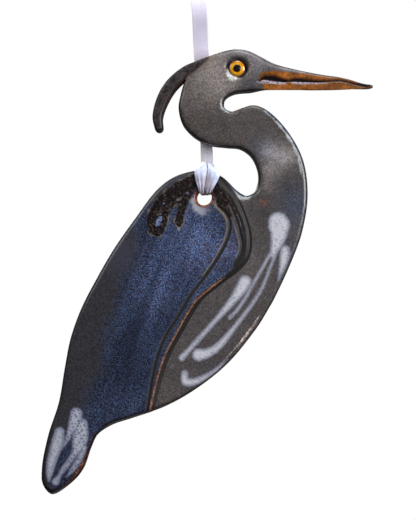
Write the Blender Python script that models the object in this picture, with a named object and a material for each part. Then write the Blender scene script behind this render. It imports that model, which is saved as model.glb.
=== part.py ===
"""Great blue heron hanging ornament: a flat stoneware heron, glazed slate grey and blue, on a satin ribbon.

Run it with blender --background --python part.py, or from Blender's text editor.

The heron's face is towards -Y and its bill towards +X, with +Z up. Sizes here are millimetres, and
become metres when a mesh is made. The heron is drawn on axes of its own: u to the right and v up, both
from the centre of the hanging hole, with y the depth from the middle of the clay slab. The origin of the
whole part is the spot where a hook or twig carries the ribbon loop, just under its knot.
"""

import math

import bmesh
import bpy
import numpy as np
from mathutils import Vector

MM = 0.001

# Where the hanging hole's centre lies, from the hook.
HOLE_FROM_HOOK = (1.1, -43.0)

# The clay slab
THICK = 5.0
FRONT = -THICK / 2
BACK = THICK / 2
EDGE_ROUND = 1.0  # the sponged front edge
BACK_ROUND = 0.4
SEAT_ROUND = 0.15  # where one clay piece meets another
GAP = 0.3  # between pieces that touch
STEP = 1.0  # between points along an outline
QUARTER = np.radians([90.0, 60.0, 30.0, 0.0])  # round an edge, from the face to the side
CLEAR = 2.0  # how far a cutter runs past what it cuts

# The hanging hole
BORE = 1.6
BORE_LIP = 0.45

# The wing, a thin layer of clay set into the slab and standing proud of it
WING_PROUD = 0.35
WING_SUNK = 0.5
WING_ROUND = 0.8
WING_FROM_HOLE = 0.1  # how far the wing stops short of the hole's lip

# The crest stands a little proud too.
CREST_PROUD = 0.2
CREST_ROUND = 0.65

# The eye: a yellow ring and a black bead in a shallow socket
EYE = (6.5, 25.8)
SOCKET_RADIUS = 1.95
SOCKET_FLOOR_RADIUS = 1.75
SOCKET_DEPTH = 0.6
IRIS_RADIUS = 1.57
IRIS_HOLE = 1.0
IRIS_ROUND = 0.45
PUPIL_RADIUS = 0.7
PUPIL_ROUND = 0.4
EYE_PROUD = 0.4

# The bill, which thins from the slab's thickness to that of its tip, with the mouth a groove along its front
BILL_TIP_THICK = 1.3
BILL_TIP_ROUND = 0.12
BILL_BACK_ROUND = 0.16
MOUTH_WIDTH = 0.55
MOUTH_DEPTH = 0.7
MOUTH_TIP_DEPTH = 0.2

# The satin ribbon, and the overhand knot that closes its loop
RIBBON_WIDTH = 3.1
RIBBON_THICK = 0.4
BELOW_NECK_WIDTH = 2.45
HITCH_WIDTH = 1.9  # where the hitch gathers both strands
HITCH_U = 0.5
HITCH_V = 5.6
LOOP_OPEN = 4.4  # between the strands where the hook goes
KNOT_SIZE = (4.4, 3.4, 3.8)
KNOT_Z = 2.4
END_LENGTH = 5.5

# The slab's outline, anticlockwise. Each list is one stretch of the bird, on a smooth curve through them all.
SHOULDER = [(0.5, 5.5), (-3.0, 5.25), (-6.5, 4.0), (-9.6, 1.55)]
UPPER_BACK = [(-13.8, -4.0), (-18.0, -10.0), (-21.5, -16.0), (-24.6, -22.0)]
LOWER_BACK = [(-26.8, -28.0), (-28.0, -34.0), (-29.2, -41.0)]
TAIL = [(-31.3, -47.5), (-32.6, -54.1), (-32.4, -57.5), (-30.6, -59.45), (-27.7, -58.0), (-24.6, -54.8)]
UNDER_TAIL = [(-23.0, -50.6), (-21.5, -47.6), (-18.6, -45.6)]
BELLY = [(-14.5, -44.2), (-8.2, -42.0), (-2.5, -38.9)]
BREAST = [(4.0, -33.9), (9.2, -27.9), (13.1, -21.9), (17.0, -13.9), (19.55, -7.0), (20.7, 0.3)]
NECK_FRONT = [(19.9, 7.2), (17.5, 12.2), (14.2, 16.2), (11.6, 18.1), (9.6, 18.6)]
THROAT = [(7.4, 18.0), (5.3, 17.35), (4.0, 18.1), (4.1, 19.8), (5.9, 21.0), (9.2, 21.4)]
CHIN_CORNER = (12.0, 21.8)
BILL_SEAT = [(10.7, 23.5), (11.9, 25.7)]
FOREHEAD_CORNER = (13.8, 27.0)
CROWN = [(11.5, 28.1), (8.9, 29.35), (6.3, 29.75), (3.4, 29.25)]
NAPE = [(-4.75, 20.9), (-5.2, 18.0), (-4.3, 14.7), (-1.9, 12.15), (1.2, 10.65)]
UNDER_NECK = [(4.5, 10.2), (7.3, 9.85), (9.75, 7.9), (10.95, 4.0)]
SHOULDER_NOTCH = [(10.15, 1.4), (8.2, 0.5), (6.6, 1.4), (3.6, 4.2)]

# The bill's edges from the head to the tip, and the mouth between them
BILL_TOP = [(18.0, 25.85), (23.3, 24.85), (28.3, 24.1), (32.0, 23.0)]
BILL_TIP = [(33.9, 22.55), (33.8, 22.3)]
BILL_BELOW = [(30.4, 22.05), (25.0, 21.9), (19.0, 21.88)]
MOUTH = [(10.2, 23.5), (13.0, 24.0), (18.0, 23.5), (25.0, 23.6), (30.0, 23.0), (33.2, 22.6)]

# The crest's middle line from the crown to its tip, with half of its width at each point
CREST = [
    (0.9, 28.1, 0.25),
    (-1.6, 26.55, 0.85),
    (-3.75, 25.25, 1.15),
    (-6.6, 22.7, 1.25),
    (-8.45, 19.65, 1.2),
    (-9.4, 16.3, 1.0),
    (-9.15, 14.1, 0.85),
]
CREST_SEATED = 0.36  # the share of its length that lies on the head

# The wing's front edge from over the shoulder to under the belly, and a detour behind the bird that closes it
WING_EDGE = [
    (1.4, 8.0),
    (3.2, 3.8),
    (5.9, 0.0),
    (8.1, -5.0),
    (8.95, -9.0),
    (8.1, -12.4),
    (4.6, -15.9),
    (-0.9, -19.8),
    (-4.2, -24.2),
    (-7.2, -30.0),
    (-9.4, -36.3),
    (-10.8, -43.0),
    (-11.6, -46.0),
]
WING_AROUND = [(-20.0, -66.0), (-40.0, -66.0), (-40.0, 12.0), (-6.0, 14.0)]

COLOURS = {
    "glaze_slate": ((0.13, 0.13, 0.135), 0.35),
    "glaze_blue": ((0.045, 0.06, 0.12), 0.3),
    "glaze_crest": ((0.035, 0.03, 0.03), 0.45),
    "glaze_amber": ((0.33, 0.13, 0.03), 0.35),
    "eye_yellow": ((0.7, 0.35, 0.02), 0.2),
    "eye_black": ((0.01, 0.008, 0.008), 0.15),
    "ribbon_satin": ((0.68, 0.64, 0.86), 0.4),
}


def clear_scene():
    for old in list(bpy.data.objects):
        bpy.data.objects.remove(old, do_unlink=True)


def material(name):
    colour, roughness = COLOURS[name]
    made = bpy.data.materials.get(name)
    if made is None:
        made = bpy.data.materials.new(name)
        made.use_nodes = True
        shader = made.node_tree.nodes["Principled BSDF"]
        shader.inputs["Base Color"].default_value = (*colour, 1.0)
        shader.inputs["Roughness"].default_value = roughness
        shader.inputs["Metallic"].default_value = 0.0
    return made


def in_row(u, y, v):
    """A point of the heron's drawing, in metres from the hook."""
    return Vector(((u + HOLE_FROM_HOOK[0]) * MM, y * MM, (v + HOLE_FROM_HOOK[1]) * MM))


def add_object(name, shape, finish):
    mesh = bpy.data.meshes.new(name)
    bmesh.ops.recalc_face_normals(shape, faces=shape.faces)
    shape.to_mesh(mesh)
    shape.free()
    mesh.shade_smooth()
    mesh.set_sharp_from_angle(angle=math.radians(40.0))
    if finish:
        mesh.materials.append(material(finish))
    made = bpy.data.objects.new(name, mesh)
    bpy.context.scene.collection.objects.link(made)
    return made


def as_cutter(made):
    made.hide_render = True
    made.display_type = "WIRE"
    return made


def boolean(target, cutter, operation):
    cut = target.modifiers.new(f"{operation.lower()}_{cutter.name}", "BOOLEAN")
    cut.solver = "EXACT"
    cut.operation = operation
    cut.object = cutter


# Curves on the drawing plane


def spline(points, spacing):
    """Points about that far apart on the centripetal Catmull-Rom curve through the given ones."""
    knots = np.array(points, float)
    knots = np.vstack([2 * knots[0] - knots[1], knots, 2 * knots[-1] - knots[-2]])
    found = []
    for four in zip(knots, knots[1:], knots[2:], knots[3:]):
        count = max(1, round(float(np.linalg.norm(four[2] - four[1])) / spacing))
        found.extend(on_curve(four, share) for share in np.linspace(0, 1, count, endpoint=False))
    found.append(knots[-2])
    return np.array(found)


def on_curve(four, s):
    """The point at share s of the way from the second to the third of four points in a row."""
    a, b, c, d = four
    ab, bc, cd = (math.sqrt(np.linalg.norm(far - near)) for near, far in ((a, b), (b, c), (c, d)))
    leaving = bc * ((b - a) / ab - (c - a) / (ab + bc) + (c - b) / bc)
    arriving = bc * ((c - b) / bc - (d - b) / (bc + cd) + (d - c) / cd)
    weights = (2 * s**3 - 3 * s**2 + 1, s**3 - 2 * s**2 + s, 3 * s**2 - 2 * s**3, s**3 - s**2)
    return sum(weight * part for weight, part in zip(weights, (b, leaving, c, arriving)))


def sideways(line, closed=False):
    """The unit vector to the left of travel at each point of a line on the drawing plane."""
    if closed:
        ahead = np.roll(line, -1, axis=0) - np.roll(line, 1, axis=0)
    else:
        ahead = np.gradient(line, axis=0)
    left = np.stack([-ahead[:, 1], ahead[:, 0]], axis=1)
    return left / np.linalg.norm(left, axis=1)[:, None]


def crest_line():
    """The crest's middle line and half widths."""
    fine = spline(CREST, STEP)
    return fine[:, :2], fine[:, 2]


def crest_seat():
    """The slab's edge where the crest lies on the head, from the crown downwards."""
    line, half = crest_line()
    on_head = slice(0, int(len(line) * CREST_SEATED) + 1)
    return (line + sideways(line) * (half + GAP)[:, None])[on_head]


def slab_outline():
    """The body, neck and head as one anticlockwise loop, and the rounding of its front edge at each point."""
    seat = [tuple(point) for point in crest_seat()]
    below_head = NAPE + UNDER_NECK + SHOULDER_NOTCH + SHOULDER
    trunk = UPPER_BACK + LOWER_BACK + TAIL + UNDER_TAIL + BELLY + BREAST
    runs = [
        ([seat[-1], *below_head, *trunk, *NECK_FRONT, *THROAT, CHIN_CORNER], EDGE_ROUND),
        ([CHIN_CORNER, *BILL_SEAT, FOREHEAD_CORNER], SEAT_ROUND),
        ([FOREHEAD_CORNER, *CROWN, seat[0]], EDGE_ROUND),
        (seat, SEAT_ROUND),
    ]
    loop, rounding = [], []
    for points, amount in runs:
        piece = spline(points, STEP)[:-1]
        loop.extend(piece)
        rounding.extend([amount] * len(piece))
    rounding = np.array(rounding)
    blended = (np.roll(rounding, -1) + rounding + np.roll(rounding, 1)) / 3
    return np.array(loop), np.minimum(blended, rounding)


def bill_outline():
    """The bill as one anticlockwise loop, seated a gap away from the head."""
    seat = spline([FOREHEAD_CORNER, *reversed(BILL_SEAT), CHIN_CORNER], STEP)
    seat = seat + sideways(seat) * GAP
    below = spline([tuple(seat[-1]), *reversed(BILL_BELOW), *reversed(BILL_TIP)], STEP)
    above = spline([BILL_TIP[0], *reversed(BILL_TOP), tuple(seat[0])], STEP)
    return np.vstack([below[:-1], above[:-1], seat[:-1]])


def crest_outline():
    """The crest as one anticlockwise loop with a round tip."""
    line, half = crest_line()
    left = sideways(line)
    inner = line + left * half[:, None]
    outer = line - left * half[:, None]
    ahead = np.array([left[-1][1], -left[-1][0]])
    turns = np.radians([135.0, 90.0, 45.0])
    tip = [line[-1] + half[-1] * (math.cos(a) * left[-1] + math.sin(a) * ahead) for a in turns]
    return np.vstack([outer, tip, inner[::-1]])


def wing_outline(grown):
    """The wing's front edge moved that far forward, closed by a detour behind the bird."""
    edge = spline(WING_EDGE, STEP)
    return np.vstack([edge + sideways(edge) * grown, WING_AROUND])


# Solids


def ring_solid(name, rings, finish):
    """A closed body whose skin runs through loops of equal length, with the first and last filled."""
    shape = bmesh.new()
    rows = [[shape.verts.new(in_row(*p)) for p in ring] for ring in rings]
    count = len(rows[0])
    for low, high in zip(rows, rows[1:]):
        for i in range(count):
            j = (i + 1) % count
            shape.faces.new((low[i], low[j], high[j], high[i]))
    shape.faces.new(rows[0][::-1])
    shape.faces.new(rows[-1])
    return add_object(name, shape, finish)


def at_depth(loop, y):
    """A loop of the drawing plane at one depth, or at a depth for each point."""
    depth = np.broadcast_to(np.asarray(y, float), (len(loop),))
    return [(u, d, v) for (u, v), d in zip(loop, depth)]


def plate(name, loop, front, back, front_round, back_round, finish):
    """A flat body of clay with a round front edge and a bevelled back one.

    The depth of its front and back and the rounding may be one number, or one for each point of the loop.
    """
    inward = sideways(loop, closed=True)
    front_round = np.broadcast_to(np.asarray(front_round, float), (len(loop),))
    rings = []
    for angle in QUARTER:
        inset = loop + inward * (front_round * (1 - math.cos(angle)))[:, None]
        rings.append(at_depth(inset, front + front_round * (1 - math.sin(angle))))
    if back_round:
        rings.append(at_depth(loop, back - back_round))
    rings.append(at_depth(loop + inward * back_round, back))
    return ring_solid(name, rings, finish)


def prism(name, loop, front, back):
    return as_cutter(ring_solid(name, [at_depth(loop, front), at_depth(loop, back)], None))


def turned(name, profile, centre, finish, sides=32):
    """A body turned about an axis through centre, from front to back. The profile is (radius, depth)."""
    angles = np.linspace(0, 2 * math.pi, sides, endpoint=False)
    rings = [
        [(centre[0] + r * math.cos(a), y, centre[1] + r * math.sin(a)) for a in angles]
        for r, y in profile
    ]
    return ring_solid(name, rings, finish)


def turned_ring(name, profile, centre, finish, sides=32):
    """A turned body with a hole through it: the profile is a closed loop of (radius, depth)."""
    shape = bmesh.new()
    rows = []
    for a in np.linspace(0, 2 * math.pi, sides, endpoint=False):
        places = [(centre[0] + r * math.cos(a), y, centre[1] + r * math.sin(a)) for r, y in profile]
        rows.append([shape.verts.new(in_row(*place)) for place in places])
    for one, other in zip(rows, rows[1:] + rows[:1]):
        for i in range(len(profile)):
            j = (i + 1) % len(profile)
            shape.faces.new((one[i], one[j], other[j], other[i]))
    return add_object(name, shape, finish)


def rounded_rim(radius, front, amount):
    """The front rim of a turned body as (radius, depth), from its face to its side."""
    return [(radius - amount * (1 - math.cos(a)), front + amount * (1 - math.sin(a))) for a in QUARTER]


# The heron


def make_slab():
    """Body, neck and head in one, with the hanging hole, the eye's socket and the wing's shallow pocket."""
    loop, rounding = slab_outline()
    slab = plate("heron_slab", loop, FRONT, BACK, rounding, BACK_ROUND, "glaze_slate")
    lip = [(BORE + BORE_LIP * (1 - math.cos(a)), BORE_LIP * (1 - math.sin(a))) for a in QUARTER]
    bore = [(lip[0][0], FRONT - CLEAR)]
    bore += [(r, FRONT + depth) for r, depth in lip]
    bore += [(r, BACK - depth) for r, depth in reversed(lip)]
    bore += [(lip[0][0], BACK + CLEAR)]
    socket = [
        (SOCKET_RADIUS, FRONT - CLEAR),
        (SOCKET_RADIUS, FRONT),
        (SOCKET_FLOOR_RADIUS, FRONT + SOCKET_DEPTH),
    ]
    cutters = [
        as_cutter(turned("hole_cutter", bore, (0.0, 0.0), None)),
        as_cutter(turned("socket_cutter", socket, EYE, None)),
        prism("wing_pocket", wing_outline(GAP), FRONT - CLEAR, FRONT + WING_SUNK + GAP),
    ]
    for cutter in cutters:
        boolean(slab, cutter, "DIFFERENCE")


def make_wing():
    """The wing layer has the slab's own outline behind and above, and is cut off along its front edge."""
    loop, _ = slab_outline()
    wing = plate("wing", loop, FRONT - WING_PROUD, FRONT + WING_SUNK, WING_ROUND, 0.0, "glaze_blue")
    boolean(wing, prism("wing_shape", wing_outline(0.0), FRONT - CLEAR, BACK), "INTERSECT")
    hole_radius = BORE + BORE_LIP + WING_FROM_HOLE
    hole = [(hole_radius, FRONT - CLEAR), (hole_radius, BACK)]
    boolean(wing, as_cutter(turned("wing_hole_cutter", hole, (0.0, 0.0), None)), "DIFFERENCE")


def make_crest():
    plate("crest", crest_outline(), FRONT - CREST_PROUD, BACK, CREST_ROUND, BACK_ROUND, "glaze_crest")


def make_bill():
    loop = bill_outline()
    root, tip = FOREHEAD_CORNER[0], BILL_TIP[0][0]
    along = np.clip((loop[:, 0] - root) / (tip - root), 0, 1)
    half_thick = (THICK + (BILL_TIP_THICK - THICK) * along) / 2
    rounding = EDGE_ROUND + (BILL_TIP_ROUND - EDGE_ROUND) * along
    rounding[loop[:, 0] < root] = SEAT_ROUND
    bill = plate("bill", loop, -half_thick, half_thick, rounding, BILL_BACK_ROUND, "glaze_amber")
    boolean(bill, mouth_cutter(), "DIFFERENCE")


def mouth_cutter():
    """A V-shaped groove that follows the sloping front of the bill and grows shallower towards the tip."""
    line = spline(MOUTH, STEP)
    half = sideways(line) * MOUTH_WIDTH / 2
    ends = [line[0][0], line[-1][0]]
    face = np.interp(line[:, 0], ends, [FRONT, -BILL_TIP_THICK / 2])
    deep = face + np.interp(line[:, 0], ends, [MOUTH_DEPTH, MOUTH_TIP_DEPTH])
    rings = []
    for point, side, at_face, at_floor in zip(line, half, face, deep):
        below, above = point - side, point + side
        section = [
            (below, FRONT - CLEAR),
            (above, FRONT - CLEAR),
            (above, at_face),
            (point, at_floor),
            (below, at_face),
        ]
        rings.append([(place[0], y, place[1]) for place, y in section])
    return as_cutter(ring_solid("mouth_cutter", rings, None))


def make_eye():
    floor = FRONT + SOCKET_DEPTH - GAP
    top = FRONT - EYE_PROUD
    rim = rounded_rim(IRIS_RADIUS, top, IRIS_ROUND)
    iris = [(IRIS_HOLE, top), *rim, (IRIS_RADIUS, floor), (IRIS_HOLE, floor)]
    turned_ring("eye_iris", iris, EYE, "eye_yellow")
    pupil = [*rounded_rim(PUPIL_RADIUS, top, PUPIL_ROUND), (PUPIL_RADIUS, floor)]
    turned("eye_pupil", pupil, EYE, "eye_black", sides=20)


# The ribbon


def strip(name, stations, spacing):
    """A flat band of ribbon. Each station is its middle (u, y, v) and half of its width as a vector."""
    fine = spline([(*middle, *half) for middle, half in stations], spacing)
    middle, half = fine[:, :3], fine[:, 3:]
    through = np.cross(np.gradient(middle, axis=0), half)
    through *= RIBBON_THICK / 2 / np.linalg.norm(through, axis=1)[:, None]
    rings = []
    for m, h, t in zip(middle, half, through):
        rings.append([tuple(m - h - t), tuple(m + h - t), tuple(m + h + t), tuple(m - h + t)])
    return ring_solid(name, rings, "ribbon_satin")


def make_strands():
    """Two strands, one behind the other, from the back of the hole up past the head to the knot.

    They lean towards the back of the head, and part under the knot to leave a loop for the hook.
    """
    hook_u, hook_v = -HOLE_FROM_HOOK[0], -HOLE_FROM_HOOK[1]
    pitch = RIBBON_THICK + GAP
    gathered = (HITCH_WIDTH / 2, 0.0, 0.0)
    below_neck = (BELOW_NECK_WIDTH / 2, 0.0, 0.0)
    spread = (RIBBON_WIDTH / 2, 0.0, 0.0)
    for name, layer, side in (("ribbon_strand_front", 0, -1), ("ribbon_strand_back", 1, 1)):
        behind = BACK + GAP + RIBBON_THICK / 2 + layer * pitch
        stations = [
            ((HITCH_U, behind, 2.2), gathered),
            ((HITCH_U, behind, HITCH_V), gathered),
            ((HITCH_U, behind, 7.6), below_neck),
            ((0.35, behind, 11.4), below_neck),
            ((0.1, behind, 16.0), spread),
            ((-0.65, behind, CROWN[2][1]), spread),
            ((hook_u + 0.15, side * 0.4 * LOOP_OPEN, hook_v - 6.0), spread),
            ((hook_u, side * 0.5 * LOOP_OPEN, hook_v - 3.2), spread),
            ((hook_u, side * pitch / 2, hook_v + 0.2), gathered),
        ]
        strip(name, stations, spacing=2.0)


def make_hitch():
    """The cow hitch: out of the hole, up the front, over the rim, round behind both strands and back again.

    Each leg starts in the hole, and half of its width points to the edge that is on the right on the front.
    Over the rim a leg turns so that its inner edge rises and its outer edge drops, and it narrows to the bar.
    """
    behind = BACK + 2 * (GAP + RIBBON_THICK) + GAP + RIBBON_THICK / 2
    proud = FRONT - WING_PROUD - GAP - RIBBON_THICK / 2
    beside = HITCH_WIDTH / 2 + GAP + RIBBON_THICK / 2
    bar = 0.6
    left = [
        ((-0.42, 0.0, 0.75), (0.32, 0.0, 0.0)),
        ((-0.42, FRONT + 0.6, 0.75), (0.34, 0.0, 0.0)),
        ((-0.52, FRONT - 0.45, 1.05), (0.46, 0.0, 0.0)),
        ((-0.66, proud, 1.95), (0.62, 0.0, 0.0)),
        ((-0.77, proud, 3.3), (0.94, 0.0, 0.0)),
        ((-0.8, proud, 4.6), (1.16, 0.0, 0.0)),
        ((-0.78, FRONT - 0.5, 5.4), (1.17, 0.0, 0.1)),
        ((-0.74, FRONT + 0.6, 5.95), (1.0, 0.0, 0.25)),
        ((-0.78, 0.0, 6.15), (0.72, 0.0, 0.4)),
        ((-0.87, 1.7, 6.2), (0.35, 0.0, 0.5)),
        ((HITCH_U - beside, 3.1, HITCH_V + 0.1), (0.0, 0.0, bar)),
        ((HITCH_U - beside, 3.8, HITCH_V), (0.0, 0.0, bar)),
        ((HITCH_U - 0.75 * beside, behind - 0.05, HITCH_V - 0.1), (0.0, 0.0, bar)),
    ]
    right = [
        ((0.42, 0.0, 0.75), (0.32, 0.0, 0.0)),
        ((0.42, FRONT + 0.6, 0.75), (0.34, 0.0, 0.0)),
        ((0.68, FRONT - 0.45, 1.05), (0.52, 0.0, 0.0)),
        ((1.0, proud, 1.95), (0.84, 0.0, 0.0)),
        ((1.5, proud, 3.3), (1.1, 0.0, 0.0)),
        ((1.82, proud, 4.5), (1.2, 0.0, -0.12)),
        ((1.8, FRONT - 0.5, 5.25), (1.16, 0.0, -0.3)),
        ((1.76, FRONT + 0.6, 5.75), (1.0, 0.0, -0.42)),
        ((1.82, 0.0, 5.95), (0.72, 0.0, -0.5)),
        ((1.9, 1.7, 6.1), (0.35, 0.0, -0.55)),
        ((HITCH_U + beside, 3.1, HITCH_V + 0.1), (0.0, 0.0, -bar)),
        ((HITCH_U + beside, 3.8, HITCH_V), (0.0, 0.0, -bar)),
        ((HITCH_U + 0.75 * beside, behind - 0.05, HITCH_V - 0.1), (0.0, 0.0, -bar)),
    ]
    turned_over = [(middle, tuple(-w for w in half)) for middle, half in reversed(right)]
    strip("ribbon_hitch", left + turned_over, spacing=0.5)


def make_knot():
    """An overhand knot in both strands: a soft lump with the crease of its last turn slanting across it."""
    crease_depth = 0.16
    crease_width = 0.13
    shape = bmesh.new()
    bmesh.ops.create_icosphere(shape, subdivisions=3, radius=0.5)
    for corner in shape.verts:
        across = (corner.co.x + corner.co.z) / math.sqrt(2)
        swell = 1.0 - crease_depth * math.exp(-((across / crease_width) ** 2))
        x, y, z = corner.co * swell
        corner.co = Vector((x * KNOT_SIZE[0], y * KNOT_SIZE[1], z * KNOT_SIZE[2] + KNOT_Z)) * MM
    add_object("ribbon_knot", shape, "ribbon_satin")


def make_ends():
    """The two cut ends above the knot, trimmed on the slant."""
    base_v = -HOLE_FROM_HOOK[1] + KNOT_Z + KNOT_SIZE[2] / 2 + GAP
    hook_u = -HOLE_FROM_HOOK[0]
    half = RIBBON_WIDTH / 2
    for name, side in (("ribbon_end_left", -1), ("ribbon_end_right", 1)):
        stations = [
            ((hook_u + side * 0.5, side * 0.45, base_v), (0.5 * half, 0.0, 0.0)),
            (
                (hook_u + side * 1.1, side * 0.8, base_v + END_LENGTH / 2),
                (0.9 * half, 0.0, -side * 0.3 * half),
            ),
            ((hook_u + side * 2.0, side * 1.2, base_v + END_LENGTH), (half, 0.0, side * 0.2 * half)),
        ]
        strip(name, stations, spacing=STEP)


def main():
    clear_scene()
    make_slab()
    make_wing()
    make_crest()
    make_bill()
    make_eye()
    make_strands()
    make_hitch()
    make_knot()
    make_ends()


main()
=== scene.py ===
"""Looks of the great blue heron hanging ornament: a glazed stoneware slab and its satin ribbon.

The heron is drawn on axes of its own, in millimetres: u to the right and v up, both from the centre of the
hanging hole, with y the depth from the middle of the slab and the face towards -y.
"""

import math

import bpy
import numpy as np
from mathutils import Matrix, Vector
from mathutils.geometry import delaunay_2d_cdt
from mathutils.kdtree import KDTree


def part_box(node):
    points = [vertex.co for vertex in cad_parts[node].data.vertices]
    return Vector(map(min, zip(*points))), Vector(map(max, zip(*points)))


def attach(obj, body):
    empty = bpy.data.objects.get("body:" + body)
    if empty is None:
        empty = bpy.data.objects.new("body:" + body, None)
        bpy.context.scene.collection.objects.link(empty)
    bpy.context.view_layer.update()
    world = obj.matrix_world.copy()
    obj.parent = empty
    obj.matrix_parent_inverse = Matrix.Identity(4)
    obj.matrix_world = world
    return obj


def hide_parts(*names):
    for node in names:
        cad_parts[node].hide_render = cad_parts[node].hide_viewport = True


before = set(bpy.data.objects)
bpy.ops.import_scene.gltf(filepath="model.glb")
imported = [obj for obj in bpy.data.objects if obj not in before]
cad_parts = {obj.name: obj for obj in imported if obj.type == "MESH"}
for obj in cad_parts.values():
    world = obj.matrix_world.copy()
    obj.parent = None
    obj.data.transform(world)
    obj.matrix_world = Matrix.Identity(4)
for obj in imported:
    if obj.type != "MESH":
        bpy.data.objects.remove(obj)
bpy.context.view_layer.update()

MM = 0.001

# The eye's centre on the heron's own axes, which gives the hanging hole's place in the frame
EYE = (6.5, 25.8)
EYE_LOW, EYE_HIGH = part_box("eye_iris")
HOLE_X = (EYE_LOW[0] + EYE_HIGH[0]) / 2 / MM - EYE[0]
HOLE_Z = (EYE_LOW[2] + EYE_HIGH[2]) / 2 / MM - EYE[1]

# The clay slab
SLAB_LOW, SLAB_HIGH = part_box("heron_slab")
THICK = (SLAB_HIGH[1] - SLAB_LOW[1]) / MM
HALF = THICK / 2
EDGE_ROUND = 1.0
SOFT_ROUND = 1.5  # of the edges that face up
BACK_ROUND = 0.4
BARE_FROM = 2.9  # how far behind the front edge's rounding the glaze ends
CREST_ROUND = 0.65
CREST_PROUD = 0.2
BILL_TIP_HALF = 0.65
BILL_BELOW_ROUND = 0.25  # of the rounding above
BILL_ROOT_U = 13.8
BILL_TIP_U = 33.9
BILL_LOWEST_V = 20.5
BILL_UNDERCUT = 0.6  # of its lower edge at the back
WING_PROUD = 0.35
WING_TOP_V = 8.0  # above the shoulder and below the neck
LINE_DEPTH = 0.14  # of the lines cut into the wing
MOUTH_DEPTH = 0.75
SOCKET_DEPTH = 0.7  # of the eye

# The hanging hole, pierced a little askew
BORE = 1.6
BORE_LIP = 0.45
HOLE_FRONT = (-0.15, 0.05)
HOLE_BACK = (0.12, -0.05)

# The mesh
GRID = 0.24  # between points of the front face
BACK_GRID = 0.6
EDGE_GRID = 0.25  # along the outline
DRAWN = 0.3  # between points along a drawn line
RIM_ANGLES = np.radians([15.0, 32.0, 50.0, 70.0, 90.0])  # round the front edge, from the side to the face
BACK_ANGLES = RIM_ANGLES[1::2]
BORE_SIDES = 64
WALL_ROWS = 8
LINE_ROWS = (-0.36, -0.18, 0.0, 0.18, 0.36)  # beside each cut line
RIDGE_ROWS = (-0.16, 0.0, 0.16)  # beside each thin ridge
ROW_CELL = 0.12  # each square of this size keeps one of the rows' points
LATTICE = 64  # the squares along each side of the noise, which then repeats
FAR = 99.0

# The outline, anticlockwise, in stretches
SHOULDER = [(0.5, 5.5), (-3.0, 5.25), (-6.5, 4.0), (-9.6, 1.55)]
UPPER_BACK = [(-13.8, -4.0), (-18.0, -10.0), (-21.5, -16.0), (-24.6, -22.0)]
LOWER_BACK = [(-26.8, -28.0), (-28.0, -34.0), (-29.2, -41.0)]
TAIL = [(-31.3, -47.5), (-32.6, -54.1), (-32.4, -57.5), (-30.6, -59.45), (-27.7, -58.0), (-24.6, -54.8)]
UNDER_TAIL = [(-23.0, -50.6), (-21.5, -47.6), (-18.6, -45.6)]
BELLY = [(-14.5, -44.2), (-8.2, -42.0), (-2.5, -38.9)]
BREAST = [(4.0, -33.9), (9.2, -27.9), (13.1, -21.9), (17.0, -13.9), (19.55, -7.0), (20.7, 0.3)]
NECK_FRONT = [(19.9, 7.2), (17.5, 12.2), (14.2, 16.2), (11.6, 18.1), (9.6, 18.6)]
THROAT = [(7.4, 18.0), (5.3, 17.35), (4.0, 18.1), (4.1, 19.8), (5.9, 21.0), (9.2, 21.4)]
BILL_BELOW = [(12.0, 21.5), (19.0, 21.55), (25.0, 21.6), (30.4, 21.9)]
BILL_TIP = [(33.8, 22.3), (33.9, 22.55)]
BILL_TOP = [(32.0, 23.0), (28.3, 24.1), (23.3, 24.85), (18.0, 25.85)]
CROWN = [(13.8, 27.05), (11.5, 28.25), (8.9, 29.5), (6.3, 29.95), (3.4, 29.4)]
NAPE = [(-4.75, 20.9), (-5.2, 18.0), (-4.3, 14.7), (-1.9, 12.15), (1.2, 10.65)]
UNDER_NECK = [(4.5, 10.2), (7.3, 9.85), (9.75, 7.9), (10.95, 4.0)]
SHOULDER_NOTCH = [(10.15, 1.4), (8.2, 0.5), (6.6, 1.4), (3.6, 4.2)]

# The crest's middle line from the crown to its tip, with half of its width at each point
CREST = [
    (0.9, 28.1, 0.25), (-1.6, 26.55, 0.85), (-3.75, 25.25, 1.15), (-6.6, 22.7, 1.25), (-8.45, 19.65, 1.2),
    (-9.4, 16.3, 1.0), (-9.15, 14.1, 0.85),
]
# Painted shadow along the crest's inner edge, as (u, v, half width)
CREST_SHADE = [
    (-3.2, 24.5, 0.1), (-5.8, 22.0, 0.3), (-7.5, 19.2, 0.35), (-8.5, 16.2, 0.3), (-8.5, 14.6, 0.1),
]
CREST_SEATED = 0.36  # the share of its length that lies on the head

# Lines cut into the clay. Each point is (u, v, half width of the dark glaze in the line).
WING_EDGE = [
    (1.4, 8.0, 0.5), (3.2, 3.8, 0.65), (5.9, 0.0, 0.72), (7.9, -4.5, 0.76), (8.75, -8.5, 0.74),
    (8.2, -12.0, 0.72), (6.0, -14.7, 0.6), (4.5, -15.9, 0.5),
]
WING_EDGE_BELOW = [
    (4.5, -15.9, 0.5), (2.9, -17.1, 0.5), (-0.6, -19.9, 0.55), (-2.2, -22.0, 0.6), (-4.3, -25.6, 0.6),
    (-7.2, -31.2, 0.5), (-9.0, -36.3, 0.45), (-10.3, -42.0, 0.4), (-11.2, -46.0, 0.4),
]
MIDDLE_LINE = [
    (5.2, -1.6, 0.2), (6.5, -4.8, 0.32), (7.15, -7.2, 0.38), (7.55, -9.6, 0.4), (7.0, -11.8, 0.4),
    (6.1, -13.3, 0.4),
]
INNER_LINE = [
    (2.6, -1.6, 0.2), (4.3, -3.1, 0.32), (5.05, -5.2, 0.36), (4.7, -7.9, 0.36), (2.8, -11.8, 0.36),
    (-0.2, -16.2, 0.34), (-2.6, -19.3, 0.32), (-5.3, -23.8, 0.3), (-7.6, -27.4, 0.3), (-9.4, -31.7, 0.28),
    (-10.5, -36.3, 0.28), (-11.2, -40.8, 0.26), (-11.7, -44.5, 0.26),
]
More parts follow.
